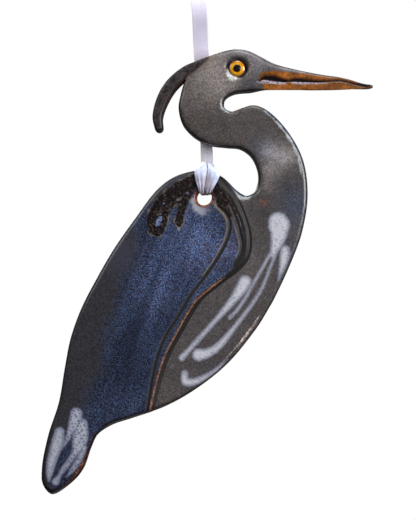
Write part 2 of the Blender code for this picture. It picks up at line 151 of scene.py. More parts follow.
MOUTH_LINE = [
    (10.9, 23.3, 0.12), (11.8, 23.9, 0.26), (13.1, 23.85, 0.48), (14.8, 23.55, 0.38), (16.1, 23.35, 0.2),
    (16.8, 23.35, 0.12), (17.8, 23.5, 0.24), (19.0, 23.5, 0.3), (20.6, 23.4, 0.22), (23.0, 23.3, 0.15),
    (25.8, 23.45, 0.12), (27.2, 23.5, 0.16), (29.2, 23.15, 0.15), (30.8, 22.75, 0.13), (32.6, 22.4, 0.12),
]
BILL_TIP_DARK = [(30.6, 23.15, 0.05), (31.8, 22.9, 0.18), (33.7, 22.5, 0.3)]

# Strokes of white glaze on the breast, as (u, v, half width)
BREAST_STROKES = [
    [
        (14.7, -4.9, 2.1), (14.8, -5.2, 2.35), (14.85, -7.2, 1.9), (14.4, -9.2, 1.4), (13.9, -10.7, 1.0),
        (13.5, -11.6, 0.7),
    ],
    [
        (13.1, -11.4, 0.5), (11.6, -14.0, 0.48), (9.6, -17.5, 0.48), (7.9, -20.5, 0.5), (6.2, -22.9, 0.5),
        (5.0, -24.1, 0.5),
    ],
    [
        (14.2, -11.2, 0.45), (12.9, -14.6, 0.44), (11.4, -18.3, 0.48), (9.3, -21.6, 0.52),
        (6.9, -24.8, 0.6), (5.0, -27.2, 0.72), (3.6, -28.9, 0.85), (1.8, -30.5, 1.0), (0.0, -31.3, 1.2),
        (-1.2, -31.5, 1.45),
    ],
    [
        (16.1, -10.5, 1.05), (16.05, -11.3, 1.15), (15.7, -13.2, 0.95), (15.2, -15.0, 0.6),
        (14.5, -17.4, 0.1),
    ],
    [
        (8.1, -16.9, 1.45), (7.0, -18.7, 1.25), (5.7, -20.5, 1.0), (4.2, -22.3, 0.85), (2.7, -24.0, 0.68),
        (0.4, -26.6, 0.66), (-1.5, -28.7, 0.68), (-3.2, -30.6, 0.68), (-4.6, -32.1, 0.8),
    ],
    [
        (-4.0, -35.3, 0.85), (-3.8, -36.8, 1.0), (-2.2, -36.9, 0.9), (0.2, -35.9, 0.75),
        (2.4, -34.4, 0.55), (4.4, -32.3, 0.25),
    ],
]
# and on the tail
TAIL_STROKES = [
    [
        (-28.95, -46.9, 1.1), (-29.35, -48.9, 1.35), (-30.0, -51.0, 1.2), (-30.6, -53.0, 1.05),
        (-30.95, -55.0, 0.8), (-31.1, -56.6, 0.35),
    ],
    [
        (-25.6, -43.2, 1.3), (-25.9, -44.8, 1.35), (-26.7, -46.6, 0.85), (-27.6, -48.7, 0.5),
        (-28.5, -50.4, 0.1),
    ],
    [
        (-24.4, -45.3, 1.15), (-24.7, -47.3, 1.65), (-25.1, -49.4, 1.5), (-25.9, -51.0, 0.85),
        (-27.1, -52.9, 0.66), (-28.4, -54.6, 0.6), (-29.0, -55.6, 0.45), (-29.75, -56.8, 0.85),
    ],
    [
        (-24.2, -50.0, 0.8), (-24.7, -51.8, 0.75), (-25.6, -53.3, 0.7), (-26.7, -54.8, 0.5),
        (-27.6, -55.9, 0.15),
    ],
]

# Ridges where the glaze breaks to orange, as (u, v, half width)
WING_RIDGE = [
    (4.0, -16.0, 0.05), (2.5, -17.1, 0.12), (0.3, -18.8, 0.15), (-1.6, -20.5, 0.17), (-2.7, -22.0, 0.14),
    (-5.3, -26.6, 0.14), (-7.9, -31.5, 0.14), (-9.5, -36.3, 0.14), (-10.8, -42.0, 0.14),
    (-11.4, -45.0, 0.14),
]
# The breast's ridge is painted pale buff: the glaze breaking on it, with a painted highlight.
BREAST_RIDGE = [
    (4.4, -32.0, 0.05), (6.5, -29.8, 0.14), (8.6, -27.1, 0.2), (10.2, -24.9, 0.16), (11.0, -23.6, 0.05),
]
TAIL_RIDGE = [
    (-21.9, -46.9, 0.05), (-22.7, -48.6, 0.1), (-23.4, -50.8, 0.14), (-24.4, -53.2, 0.24),
    (-26.0, -55.6, 0.16), (-28.3, -57.6, 0.05),
]
RIDGES = (WING_RIDGE, BREAST_RIDGE, TAIL_RIDGE)

# The dark glaze at the shoulder: a cap with two drips, and the glaze between the ribbon and the wing's edge
SHOULDER_CAP = [
    (-1.2, 5.0), (-2.2, 4.6), (-4.0, 3.8), (-5.9, 2.9), (-7.6, 1.6), (-9.3, 0.2), (-10.6, -1.6),
    (-11.4, -3.6), (-11.6, -5.3), (-11.1, -6.9), (-10.1, -7.8), (-8.9, -7.8), (-8.1, -7.0), (-7.6, -5.6),
    (-7.2, -4.0), (-6.5, -2.6), (-5.6, -1.3), (-5.3, -1.7), (-5.6, -3.2), (-6.0, -4.7), (-5.7, -5.7),
    (-4.8, -5.95), (-4.2, -5.0), (-3.8, -3.4), (-3.3, -1.6), (-2.6, 0.0), (-1.8, 1.6), (-1.2, 3.2),
]
SHOULDER_RIGHT = [
    (1.6, 5.0), (2.7, 4.4), (4.2, 2.5), (5.5, 1.0), (6.7, -0.6), (7.6, -2.6), (8.3, -4.8), (8.7, -6.6),
    (8.1, -6.4), (7.4, -4.6), (6.6, -3.4), (6.1, -4.0), (5.3, -4.2), (4.6, -3.7), (3.6, -2.8),
    (2.5, -1.4), (1.9, 0.4),
]
# Flecks of blue and tan that show through it
FLECKS = [
    (-8.9, -4.0, 0.45, 1.0), (-9.15, -4.8, 0.6, 1.3), (-9.4, -5.5, 0.45, 1.0), (-8.2, -1.2, 0.4, 0.8),
    (-3.4, 1.0, 0.4, 0.8), (-6.2, 0.6, 0.4, 0.6),
]
MILKY = [
    (-5.0, -0.3, 0.6, 0.8), (-4.7, -1.5, 0.4, 0.7), (-4.7, -2.8, 0.35, 0.6), (-5.2, -6.2, 0.5, 1.0),
    (-8.8, -3.3, 0.3, 0.8), (1.9, -1.7, 0.8, 0.6), (3.1, -3.2, 0.6, 0.5),
]

# Milky glaze under the hanging hole, and rusty spots
HOLE_HALO = [
    (-2.3, -0.6, 0.7, 1.0), (-1.8, -1.9, 0.9, 1.0), (-0.6, -2.8, 1.1, 0.8), (1.0, -2.7, 1.0, 0.5),
    (2.2, -1.6, 0.6, 0.4),
]
RUSTY = [(12.1, -1.1, 0.9, 0.95), (11.0, -0.5, 0.5, 0.6), (4.35, 25.8, 0.35, 1.2), (8.8, -13.6, 0.4, 0.6)]

# Painted highlight on the rims that face up, whitish, with a dark blue line outside it as painted reflection
RIM_HIGHLIGHTS = [
    [
        (2.4, 4.3, 0.2), (3.7, 2.9, 0.36), (5.7, 0.95, 0.38), (7.3, -0.02, 0.28), (8.6, -0.1, 0.16),
        (9.6, 0.2, 0.05),
    ],
    [(3.3, 18.6, 0.1), (3.5, 18.0, 0.28), (4.05, 17.4, 0.26), (4.7, 17.15, 0.08)],
    [(12.0, 17.3, 0.05), (14.0, 15.5, 0.14), (16.5, 12.5, 0.18), (18.5, 8.5, 0.14), (19.5, 4.5, 0.05)],
]

# Painted shade along the lower rims, in black-brown
LOWER_RIM_SHADE = [
    [
        (4.0, -33.9, 0.1), (-2.5, -38.9, 0.4), (-8.2, -42.0, 0.6), (-14.5, -44.2, 0.85),
        (-18.6, -45.6, 0.85), (-21.5, -47.6, 0.6),
    ],
    [
        (-21.5, -47.6, 0.6), (-23.0, -50.6, 0.55), (-24.6, -54.8, 0.6), (-27.7, -58.0, 0.8),
        (-30.6, -59.45, 1.2), (-32.4, -57.5, 0.6), (-32.6, -54.1, 0.45), (-31.3, -47.5, 0.3),
        (-29.2, -41.0, 0.1),
    ],
]

# Pale glaze in the mouth, on the lower mandible's edge
LIP_BAND = [
    [(11.0, 23.15, 0.3), (12.4, 23.15, 0.38), (14.2, 23.05, 0.36), (15.6, 22.85, 0.26), (16.3, 22.85, 0.1)],
    [(17.6, 22.95, 0.2), (19.0, 22.95, 0.26), (20.6, 22.9, 0.2), (23.0, 22.95, 0.12), (25.0, 23.0, 0.03)],
]

# The painted shadow over the eye, in dark brown, and the white glaze under it
EYE_SHADOW = [
    (4.3, 26.2, 0.15), (4.9, 27.1, 0.4), (6.1, 27.75, 0.5), (7.5, 27.45, 0.6), (8.3, 26.5, 0.6),
    (8.45, 25.4, 0.25),
]
EYE_WHITE = [(4.7, 25.3, 0.2), (4.9, 24.7, 0.6), (5.35, 24.15, 0.75), (6.1, 23.9, 0.55), (6.8, 23.85, 0.15)]

# Thin pale edges of the glaze
PALE_LINES = [
    [(6.5, -2.2, 0.05), (6.9, -4.0, 0.07), (7.3, -5.8, 0.04)],
    [(5.7, -4.6, 0.12), (6.4, -7.2, 0.13), (6.9, -9.2, 0.12), (6.7, -11.2, 0.08)],
    [
        (1.7, -0.9, 0.15), (2.8, -2.4, 0.2), (4.0, -3.6, 0.22), (4.5, -5.4, 0.16), (4.1, -8.0, 0.14),
        (2.2, -11.8, 0.12), (-0.4, -15.6, 0.1),
    ],
]

# The lines that get rows of mesh points of their own, and how far the rows lie from each
ROWED = [
    ((WING_EDGE + WING_EDGE_BELOW[1:], MIDDLE_LINE, INNER_LINE, MOUTH_LINE), LINE_ROWS),
    ((*RIDGES, *PALE_LINES), RIDGE_ROWS),
]

# The blue of the wing lies on the breast's side of this line,
BLUE_FROM = [
    (-15.5, 2.0), (-14.0, -4.0), (-13.6, -9.0), (-15.6, -15.0), (-17.8, -21.0), (-19.6, -28.0),
    (-21.8, -36.0), (-25.0, -42.5), (-28.4, -49.0), (-30.4, -55.0), (-31.0, -60.0),
]

# but not along the shoulder's edge, where the grey shows.
SHOULDER_GREY = [
    (-0.5, 5.8, 2.0, 1.0), (-3.6, 5.2, 1.8, 1.0), (-6.6, 4.0, 1.7, 1.0), (-9.0, 2.2, 1.5, 1.0),
    (-11.0, 0.2, 1.2, 0.8),
]

# The bill's orange glaze begins at this line, with the head to its left.
BILL_GLAZE = [
    (11.9, 20.5), (11.75, 22.2), (11.3, 22.9), (10.9, 23.9), (11.3, 24.85), (12.4, 25.2), (14.6, 25.3),
    (18.4, 25.0), (21.0, 24.75), (24.0, 24.4), (27.0, 24.2), (29.5, 24.2),
]

# Lighter and darker places of the glaze, where the lighter places along the crown and the top of the bill are
# painted highlight: (u, v, reach, change in level). Levels go from 0 to 255, as in srgb.
GLAZE_LEVEL = 77.0  # the level of the glazes' own colours
GLAZE_DEPTH = 0.74  # how much darker the glaze is than these colours, which are of its lit surface
SLATE_TONES_AND_HIGHLIGHTS = [
    (2.5, 24.5, 5.5, 50.0), (10.3, 26.8, 2.8, 30.0), (7.0, 29.0, 2.0, 22.0), (16.5, 25.6, 1.6, 24.0),
    (19.5, 25.0, 1.4, 30.0), (8.5, 21.8, 2.0, -14.0), (-3.0, 19.0, 3.0, 6.0), (1.0, 15.0, 4.0, -5.0),
    (13.0, 9.4, 2.0, 48.0), (16.0, 8.2, 2.3, 56.0), (13.2, 5.4, 1.9, 42.0), (12.5, 2.2, 1.3, 26.0),
    (18.6, 8.6, 1.8, 22.0), (17.0, 1.8, 1.8, -12.0), (11.5, -2.5, 3.5, -9.0), (0.5, 28.4, 3.0, 6.0),
    (8.5, -13.0, 3.0, 7.0), (2.0, -32.0, 5.0, -6.0),
]
WING_LEVEL = 46.0
WING_LEAN = math.radians(-22.0)  # of the wing's length from upright
WING_SHADES = [
    (-11.5, -36.0, 3.5, -8.0), (-5.0, -24.0, 3.0, -4.0), (-1.0, -9.0, 7.0, 27.0),
    (-8.0, -19.0, 6.0, 18.0), (-17.0, -10.0, 4.0, 12.0), (-16.0, -41.0, 4.0, 8.0),
    (5.6, -10.5, 2.2, 26.0), (-6.5, 3.6, 2.6, 26.0), (-20.0, -14.0, 5.0, 8.0),
]
MAUVE_PLACES = [
    (5.8, -9.0, 2.2, 0.9), (4.0, -13.0, 2.0, 0.8), (0.5, -10.0, 2.5, 0.6), (-3.0, -14.0, 2.5, 0.5),
    (-5.0, -21.0, 2.5, 0.5),
]
# Bluish places of the glaze, as (u, v, reach, amount). On the crown the bluish grey is a painted reflection
# of the light from above.
COOL_PLACES = [
    (7.5, 28.8, 2.8, 0.28), (12.0, 26.6, 2.6, 0.26), (17.5, 25.4, 2.5, 0.2), (9.3, 22.8, 1.6, 0.3),
    (14.5, 8.6, 3.2, 0.2), (18.6, -1.5, 4.2, 1.0), (17.5, -12.0, 3.5, 0.5), (11.0, 10.0, 2.5, 0.4),
    (2.0, -37.0, 4.0, 0.5),
]

# What the relief and the glaze go by. Each of these fields is how deep a point is inside any of its strokes.
STROKE_FIELDS = {
    "line": (WING_EDGE, WING_EDGE_BELOW, MIDDLE_LINE, INNER_LINE),
    "mouth": (MOUTH_LINE, BILL_TIP_DARK),
    "stroke": (*BREAST_STROKES, *TAIL_STROKES),
    "ridge": RIDGES,
    "pale": PALE_LINES,
    "lip": LIP_BAND,
    "shadow": (EYE_SHADOW,),
    "white": (EYE_WHITE,),
    # the painted highlight on the rims that face up
    "gathered": RIM_HIGHLIGHTS,
    "lower_rim_shade": LOWER_RIM_SHADE,
    "crest": (CREST,),
    "crest_shade": (CREST_SHADE,),
}
# Each of these is the sum of its soft spots, and the capped ones stay between 0 and 1.
SPOT_FIELDS = {"halo": HOLE_HALO, "rust": RUSTY}
CAPPED_SPOT_FIELDS = {"fleck": FLECKS, "milky": MILKY, "mauve": MAUVE_PLACES, "cool": COOL_PLACES}

# How far the glaze of a field stands proud, and from what depth inside the field to what depth it rises
RISES = [
    ("stroke", 0.1, -0.2, 0.4),
    ("ridge", 0.1, -0.25, 0.1),
    ("patch", 0.1, -0.3, 0.5),
    ("shadow", -0.25, -0.5, 0.4),
    ("white", 0.12, -0.4, 0.3),
]
# Unevenness of the face and of the back: (depth, size, seed)
FACE_LUMPS = [(0.07, 9.0, 1), (0.03, 3.5, 2), (0.012, 0.8, 4)]
BACK_LUMPS = [(0.05, 7.0, 5), (0.02, 1.6, 6)]
BACK_SUNK = 0.06


# Curves and distances on the drawing plane


def spline(points, spacing=DRAWN):
    """Points about that far apart on the centripetal Catmull-Rom curve through the given ones."""
    knots = np.array(points, float)
    knots = np.vstack([2 * knots[0] - knots[1], knots, 2 * knots[-1] - knots[-2]])
    found = []
    for four in zip(knots, knots[1:], knots[2:], knots[3:]):
        count = max(1, round(float(np.linalg.norm(four[2] - four[1])) / spacing))
        found.extend(on_curve(four, share) for share in np.linspace(0, 1, count, endpoint=False))
    found.append(knots[-2])
    return np.array(found)


def on_curve(four, s):
    """The point at share s of the way from the second to the third of four points in a row."""
    a, b, c, d = four
    ab, bc, cd = (math.sqrt(np.linalg.norm(far - near)) for near, far in ((a, b), (b, c), (c, d)))
    leaving = bc * ((b - a) / ab - (c - a) / (ab + bc) + (c - b) / bc)
    arriving = bc * ((c - b) / bc - (d - b) / (bc + cd) + (d - c) / cd)
    weights = (2 * s**3 - 3 * s**2 + 1, s**3 - 2 * s**2 + s, 3 * s**2 - 2 * s**3, s**3 - s**2)
    return sum(weight * part for weight, part in zip(weights, (b, leaving, c, arriving)))


def joined(loop):
    """A loop with its first row again at its end."""
    return np.vstack([loop, loop[:1]])


def walked(line):
    """How far along a line each of its points is."""
    return np.concatenate([[0], np.cumsum(np.linalg.norm(np.diff(line, axis=0), axis=1))])


def sideways(line, closed=False):
    """The unit vector to the left of travel at each point of a line."""
    if closed:
        ahead = np.roll(line, -1, axis=0) - np.roll(line, 1, axis=0)
    else:
        ahead = np.gradient(line, axis=0)
    left = np.stack([-ahead[:, 1], ahead[:, 0]], axis=1)
    return left / np.linalg.norm(left, axis=1)[:, None]


def evenly(loop, spacing):
    """A closed loop of rows resampled at equal steps along it."""
    ring = joined(loop)
    along = walked(ring[:, :2])
    places = np.linspace(0, along[-1], round(along[-1] / spacing), endpoint=False)
    return np.stack([np.interp(places, along, column) for column in ring.T], axis=1)


def from_spot(points, spot):
    """Each point's distance from a spot."""
    return np.hypot(points[:, 0] - spot[0], points[:, 1] - spot[1])


def closest(points, line):
    """The number of the line's own point that is closest to each point."""
    tree = KDTree(len(line))
    for i, place in enumerate(line):
        tree.insert((place[0], place[1], 0.0), i)
    tree.balance()
    return np.array([tree.find((u, v, 0.0))[1] for u, v in points], int)


def nearest(points, line):
    """Each point's distance to a fine line, its side (1 if left of travel) and the line's third value."""
    middle = closest(points, line)
    before = stretch(points, line, np.maximum(middle - 1, 0))
    after = stretch(points, line, np.minimum(middle, len(line) - 2))
    return tuple(np.where(before[0] <= after[0], one, other) for one, other in zip(before, after))


def stretch(points, line, first):
    """The same three for one stretch of the line for each point, which begins at its point number first."""
    start, end = line[first], line[first + 1]
    reach = end[:, :2] - start[:, :2]
    away = points - start[:, :2]
    share = np.clip((away * reach).sum(axis=1) / np.maximum((reach**2).sum(axis=1), 1e-12), 0, 1)
    distance = np.linalg.norm(away - share[:, None] * reach, axis=1)
    side = np.where(reach[:, 0] * away[:, 1] - reach[:, 1] * away[:, 0] >= 0, 1.0, -1.0)
    value = start[:, -1] * (1 - share) + end[:, -1] * share
    return distance, side, value


def near_line(points, line, reach=2.0):
    """Each point's distance to a line and the line's third value, unless it is far from the line's box."""
    distance, value = np.full(len(points), FAR), np.zeros(len(points))
    low, high = line[:, :2].min(axis=0) - reach, line[:, :2].max(axis=0) + reach
    near = ((points > low) & (points < high)).all(axis=1)
    if near.any():
        distance[near], _, value[near] = nearest(points[near], line)
    return distance, value


def right_of(points, line):
    """Each point's distance to the right of a line, negative to its left."""
    distance, side, _ = nearest(points, line)
    return -side * distance


def inside_stroke(points, strokes):
    """How deep each point is inside any stroke, negative outside. A stroke has (u, v, half width) points."""
    deepest = np.full(len(points), -FAR)
    for stroke in strokes:
        distance, half = near_line(points, spline(stroke), 3.5)
        deepest = np.maximum(deepest, half - distance)
    return deepest


def inside_loop(points, loop):
    """How deep each point lies inside a closed smooth loop, negative outside."""
    fine = spline(joined(loop))
    distance, _, _ = nearest(points, fine)
    inside = np.zeros(len(points), bool)
    for (u0, v0), (u1, v1) in zip(fine[:-1], fine[1:]):
        if v0 != v1:
            crosses = (points[:, 1] >= min(v0, v1)) & (points[:, 1] < max(v0, v1))
            inside ^= crosses & (points[:, 0] < u0 + (points[:, 1] - v0) * (u1 - u0) / (v1 - v0))
    return np.where(inside, distance, -distance)


def blobs(points, places):
    """The sum of soft round places, each (u, v, reach, amount)."""
    total = np.zeros(len(points))
    for u, v, reach, amount in places:
        total += amount * groove(from_spot(points, (u, v)), reach)
    return total


def smooth(value, low, high):
    share = np.clip((value - low) / (high - low), 0, 1)
    return share * share * (3 - 2 * share)


def groove(distance, width):
    """A soft bell, 1 in the middle."""
    return np.exp(-((distance / width) ** 2))


def step_up(depth, rounding):
    """A rounded step from 0 to 1 going inwards from an edge."""
    share = np.clip(depth / rounding, 0, 1)
    return np.sqrt(1 - (1 - share) ** 2)


def rim_dip(distance, radius):
    """How far a quarter-round edge falls below the flat, at a distance in from the side."""
    return radius * (1 - step_up(distance, radius))


def lumps(points, size, seed):
    """Smooth noise from -1 to 1 whose lumps are about that wide."""
    rng = np.random.default_rng(seed)
    lattice = rng.uniform(-1, 1, (LATTICE, LATTICE))
    place = points / size + rng.uniform(0, LATTICE, 2)
    cell = np.floor(place).astype(int)
    i, j = (cell % LATTICE).T
    s, t = smooth(place - cell, 0, 1).T
    ni, nj = (i + 1) % LATTICE, (j + 1) % LATTICE
    low = lattice[i, j] * (1 - s) + lattice[ni, j] * s
    high = lattice[i, nj] * (1 - s) + lattice[ni, nj] * s
    return low * (1 - t) + high * t


def uneven(points, kinds):
    return sum(depth * lumps(points, size, seed) for depth, size, seed in kinds)


def circle(centre, radius):
    """A clockwise circle, as the edge of the hanging hole."""
    turns = np.linspace(0, 2 * math.pi, BORE_SIDES, endpoint=False)
    return np.stack([centre[0] + radius * np.cos(turns), centre[1] - radius * np.sin(turns)], axis=1)


# The heron's outline


def bill_rim(u):
    """The rounding of the bill's edges, which shrinks towards the tip."""
    return float(np.interp(u, [BILL_ROOT_U, 26.0, 31.0, BILL_TIP_U], [EDGE_ROUND, 0.85, 0.5, 0.12]))


def crest_edges():
    """The crest's edge on the head's side and its outer edge, from the crown to the tip."""
    fine = spline(CREST, EDGE_GRID)
    line, half = fine[:, :2], fine[:, 2]
    left = sideways(line)
    return line + left * half[:, None], line - left * half[:, None]


def crest_tip(inner, outer):
    """The round end of the crest, from its outer edge to its inner one."""
    middle = (inner[-1] + outer[-1]) / 2
    across = outer[-1] - middle
    ahead = np.array([across[1], -across[0]])
    if ahead @ (middle - (inner[-2] + outer[-2]) / 2) < 0:
        ahead = -ahead
    return [middle + math.cos(a) * across + math.sin(a) * ahead for a in np.linspace(0, math.pi, 9)[1:-1]]


def heron_outline():
    """The whole bird as one anticlockwise loop of (u, v, rounding of the front edge)."""
    inner, outer = crest_edges()
    seated = int(len(inner) * CREST_SEATED)
    anchors = [(*inner[seated], CREST_ROUND)]
    anchors += [(u, v, EDGE_ROUND) for u, v in NAPE + UNDER_NECK]
    anchors += [(u, v, SOFT_ROUND) for u, v in SHOULDER_NOTCH]
    anchors += [(u, v, EDGE_ROUND) for u, v in SHOULDER + UPPER_BACK + LOWER_BACK + TAIL + UNDER_TAIL]
    anchors += [(u, v, EDGE_ROUND) for u, v in BELLY + BREAST + NECK_FRONT + THROAT]
    anchors += [(u, v, BILL_BELOW_ROUND * bill_rim(u)) for u, v in BILL_BELOW]
    anchors += [(u, v, bill_rim(u)) for u, v in BILL_TIP + BILL_TOP]
    anchors += [(u, v, SOFT_ROUND) for u, v in CROWN]
    anchors += [(*outer[0], CREST_ROUND)]
    around = spline(anchors, EDGE_GRID)[:-1]
    crest = np.vstack([outer, crest_tip(inner, outer), inner[:seated:-1]])
    crest = np.column_stack([crest, np.full(len(crest), CREST_ROUND)])
    return evenly(np.vstack([around, crest]), EDGE_GRID)


def undercut(outline):
    """The outline of the back, which is cut away a little under the bill, with the back's own rounding."""
    u, v, _ = outline.T
    below = smooth(u, 9.0, 13.0) * (1 - smooth(u, 27.0, 33.0)) * (1 - smooth(v, 22.2, 22.6))
    below *= v > BILL_LOWEST_V
    return np.stack([u, v + BILL_UNDERCUT * below, np.full(len(u), BACK_ROUND)], axis=1)


# The clay surface


def half_thickness(points):
    """Half of the slab's thickness, which thins along the bill."""
    along = np.clip((points[:, 0] - BILL_ROOT_U) / (BILL_TIP_U - BILL_ROOT_U), 0, 1)
    along[points[:, 1] < BILL_LOWEST_V] = 0.0
    return HALF + (BILL_TIP_HALF - HALF) * along


def relief(points, edge, fields):
    """Height of the modelled and glazed detail above the slab's plain front face."""
    wing, crest = fields["wing"], fields["crest"]
    height = WING_PROUD * step_up(wing + 0.1, 0.5) - 0.1 * groove(wing + 0.4, 0.35)
    for line in (MIDDLE_LINE, INNER_LINE):
        distance, _ = near_line(points, spline(line))
        height -= LINE_DEPTH * groove(distance, 0.24)
    for name, rise, low, high in RISES:
        height += rise * smooth(fields[name], low, high)
    height += 0.05 * lumps(points, 0.9, 3) * smooth(fields["patch"], 0.0, 0.6)
    height += CREST_PROUD * step_up(crest, 0.5) - 0.15 * groove(crest + 0.1, 0.2) * smooth(edge, 0.0, 0.6)
    filled = 0.8 * smooth(fields["white"], -0.5, 0.2)
    height -= SOCKET_DEPTH * (1 - smooth(fields["eye"], 1.6, 2.4)) * (1 - filled)
    return height - mouth_cut(points) + uneven(points, FACE_LUMPS)


def mouth_cut(points):
    """Depth of the groove between the mandibles."""
    distance, half = near_line(points, spline(MOUTH_LINE))
    depth = MOUTH_DEPTH * np.clip(half_thickness(points) / HALF, 0, 1)
    return depth * groove(distance, np.maximum(half, 0.1) * 1.2)


def surface_fields(points):
    """What the relief and the glaze go by: how far each point is inside or from each drawn thing."""
    fields = {name: inside_stroke(points, strokes) for name, strokes in STROKE_FIELDS.items()}
    for name, spots in SPOT_FIELDS.items():
        fields[name] = blobs(points, spots)
    for name, spots in CAPPED_SPOT_FIELDS.items():
        fields[name] = np.clip(blobs(points, spots), 0, 1)
    wing = right_of(points, spline(WING_EDGE + WING_EDGE_BELOW[1:]))
    fields["wing"] = np.minimum(wing, WING_TOP_V - points[:, 1])
    fields["patch"] = np.maximum(inside_loop(points, SHOULDER_CAP), inside_loop(points, SHOULDER_RIGHT))
    bill = right_of(points, spline(BILL_GLAZE))
    fields["bill"] = np.where(points[:, 1] > BILL_LOWEST_V, bill, -9.0)
    grey = np.clip(blobs(points, SHOULDER_GREY) * 1.5, 0, 1)
    fields["blue"] = -right_of(points, spline(BLUE_FROM, 0.5)) * (1 - grey) - 6.0 * grey
    fields["eye"] = from_spot(points, EYE)
    fields["hole"] = from_spot(points, HOLE_FRONT)
    fields["shade"] = glaze_shade(points, fields["wing"])
    return fields


def glaze_shade(points, wing):
    """How light the glaze is, where 1 is its own colour, with painted highlight along the crown and the top
    of the bill.
    """
    slate_level = GLAZE_LEVEL + blobs(points, SLATE_TONES_AND_HIGHLIGHTS)
    wing_level = WING_LEVEL + blobs(points, WING_SHADES)
    level = slate_level + (wing_level - slate_level) * smooth(wing, -0.3, 0.3)
    return (level / GLAZE_LEVEL) ** 2.2


def edge_rows(outline, angles):
    """Points in rows parallel to the outline, close together where the rounded edge is steep."""
    loop, rim = outline[:, :2], outline[:, 2]
    inward = sideways(loop, closed=True)
    kept = []
    for angle in angles:
        inset = rim * (1 - math.cos(angle))
        row = loop + inward * inset[:, None]
        distance, _, _ = nearest(row, joined(outline))
        kept.append(row[distance > 0.96 * inset])
    return np.vstack(kept)


def line_rows():
    """Points in rows beside each drawn line, so that its groove or ridge is crisp."""
    rows = []
    for lines, offsets in ROWED:
        for line in lines:
            fine = spline(line, 0.2)[:, :2]
            left = sideways(fine)
            rows.extend(fine + left * offset for offset in offsets)
    points = np.vstack(rows)
    _, first = np.unique(np.round(points / ROW_CELL), axis=0, return_index=True)
    return points[np.sort(first)]


def grid(spacing, outline):
    """A triangular grid of points over the outline's rectangle."""
    low, high = outline[:, :2].min(axis=0), outline[:, :2].max(axis=0)
    columns = np.arange(low[0], high[0], spacing)
    points = []
    for i, v in enumerate(np.arange(low[1], high[1], spacing * math.sqrt(3) / 2)):
        points.append(np.stack([columns + spacing / 2 * (i % 2), np.full(len(columns), v)], axis=1))
    return np.vstack(points)


def within(points, outline, spare):
    """The points at least that far inside the outline and its rounded edge."""
    distance, side, rim = nearest(points, joined(outline))
    return points[(side > 0) & (distance > rim + spare)]


def with_rims(points, outline, hole, lip, angles, spare):
    """The points that are clear of the hole, after rows on the rounded edges of the outline and the hole."""
    rings = [circle(hole, BORE + lip * (1 - math.cos(angle))) for angle in angles]
    clear = points[from_spot(points, hole) > BORE + lip + spare]
    return np.vstack([edge_rows(outline, angles), *rings, clear])


def front_points(outline):
    """The inner points of the front face."""
    rowed = within(line_rows(), outline, 0.08)
    spread = within(grid(GRID, outline), outline, 0.6 * GRID)
    for lines, offsets in ROWED:
        for line in lines:
            distance, _ = near_line(spread, spline(line))
            spread = spread[distance > offsets[-1] + 0.5 * GRID]
    return with_rims(np.vstack([rowed, spread]), outline, HOLE_FRONT, BORE_LIP, RIM_ANGLES, 0.6 * GRID)


def back_points(outline):
    spread = within(grid(BACK_GRID, outline), outline, 0.4 * BACK_GRID)
    return with_rims(spread, outline, HOLE_BACK, BACK_ROUND, BACK_ANGLES, 0.4 * BACK_GRID)


def triangulate(outer, hole, points):
    """Every point, the two loops first, and the triangles between the outer loop and the hole."""
    corners = np.vstack([outer, hole, points])
    edges, start = [], 0
    for loop in (outer, hole):
        count = len(loop)
        edges += [(start + i, start + (i + 1) % count) for i in range(count)]
        start += count
    found = delaunay_2d_cdt([Vector(corner) for corner in corners], edges, [], 1, 1e-7)
    first_of = np.array([origin[0] for origin in found[3]])
    faces = first_of[np.array(found[2])]
    in_hole = (faces >= len(outer)).all(axis=1) & (faces < start).all(axis=1)
    return corners, faces[~in_hole]


def plain_height(points, outline, hole, lip):
    """Height of a plain rounded face above the slab's middle, and each point's distance in from the side."""
    edge, _, rim = nearest(points, joined(outline))
    dips = rim_dip(edge, rim) + rim_dip(from_spot(points, hole) - BORE, lip)
    return half_thickness(points) - dips, edge


def wall(front_loop, back_loop, front_y, back_y, seed):
    """Rows of (u, v, y) between the front and back edges of a side wall, a little uneven."""
    rows = []
    for share in np.linspace(0, 1, WALL_ROWS + 1)[1:-1]:
        flat = front_loop * (1 - share) + back_loop * share
        swell = 0.07 * math.sin(math.pi * share) * (1 + lumps(flat + share * 3, 2.5, seed))
        flat = flat - sideways(flat, closed=True) * swell[:, None]
        rows.append(np.column_stack([flat, front_y * (1 - share) + back_y * share]))
    return rows


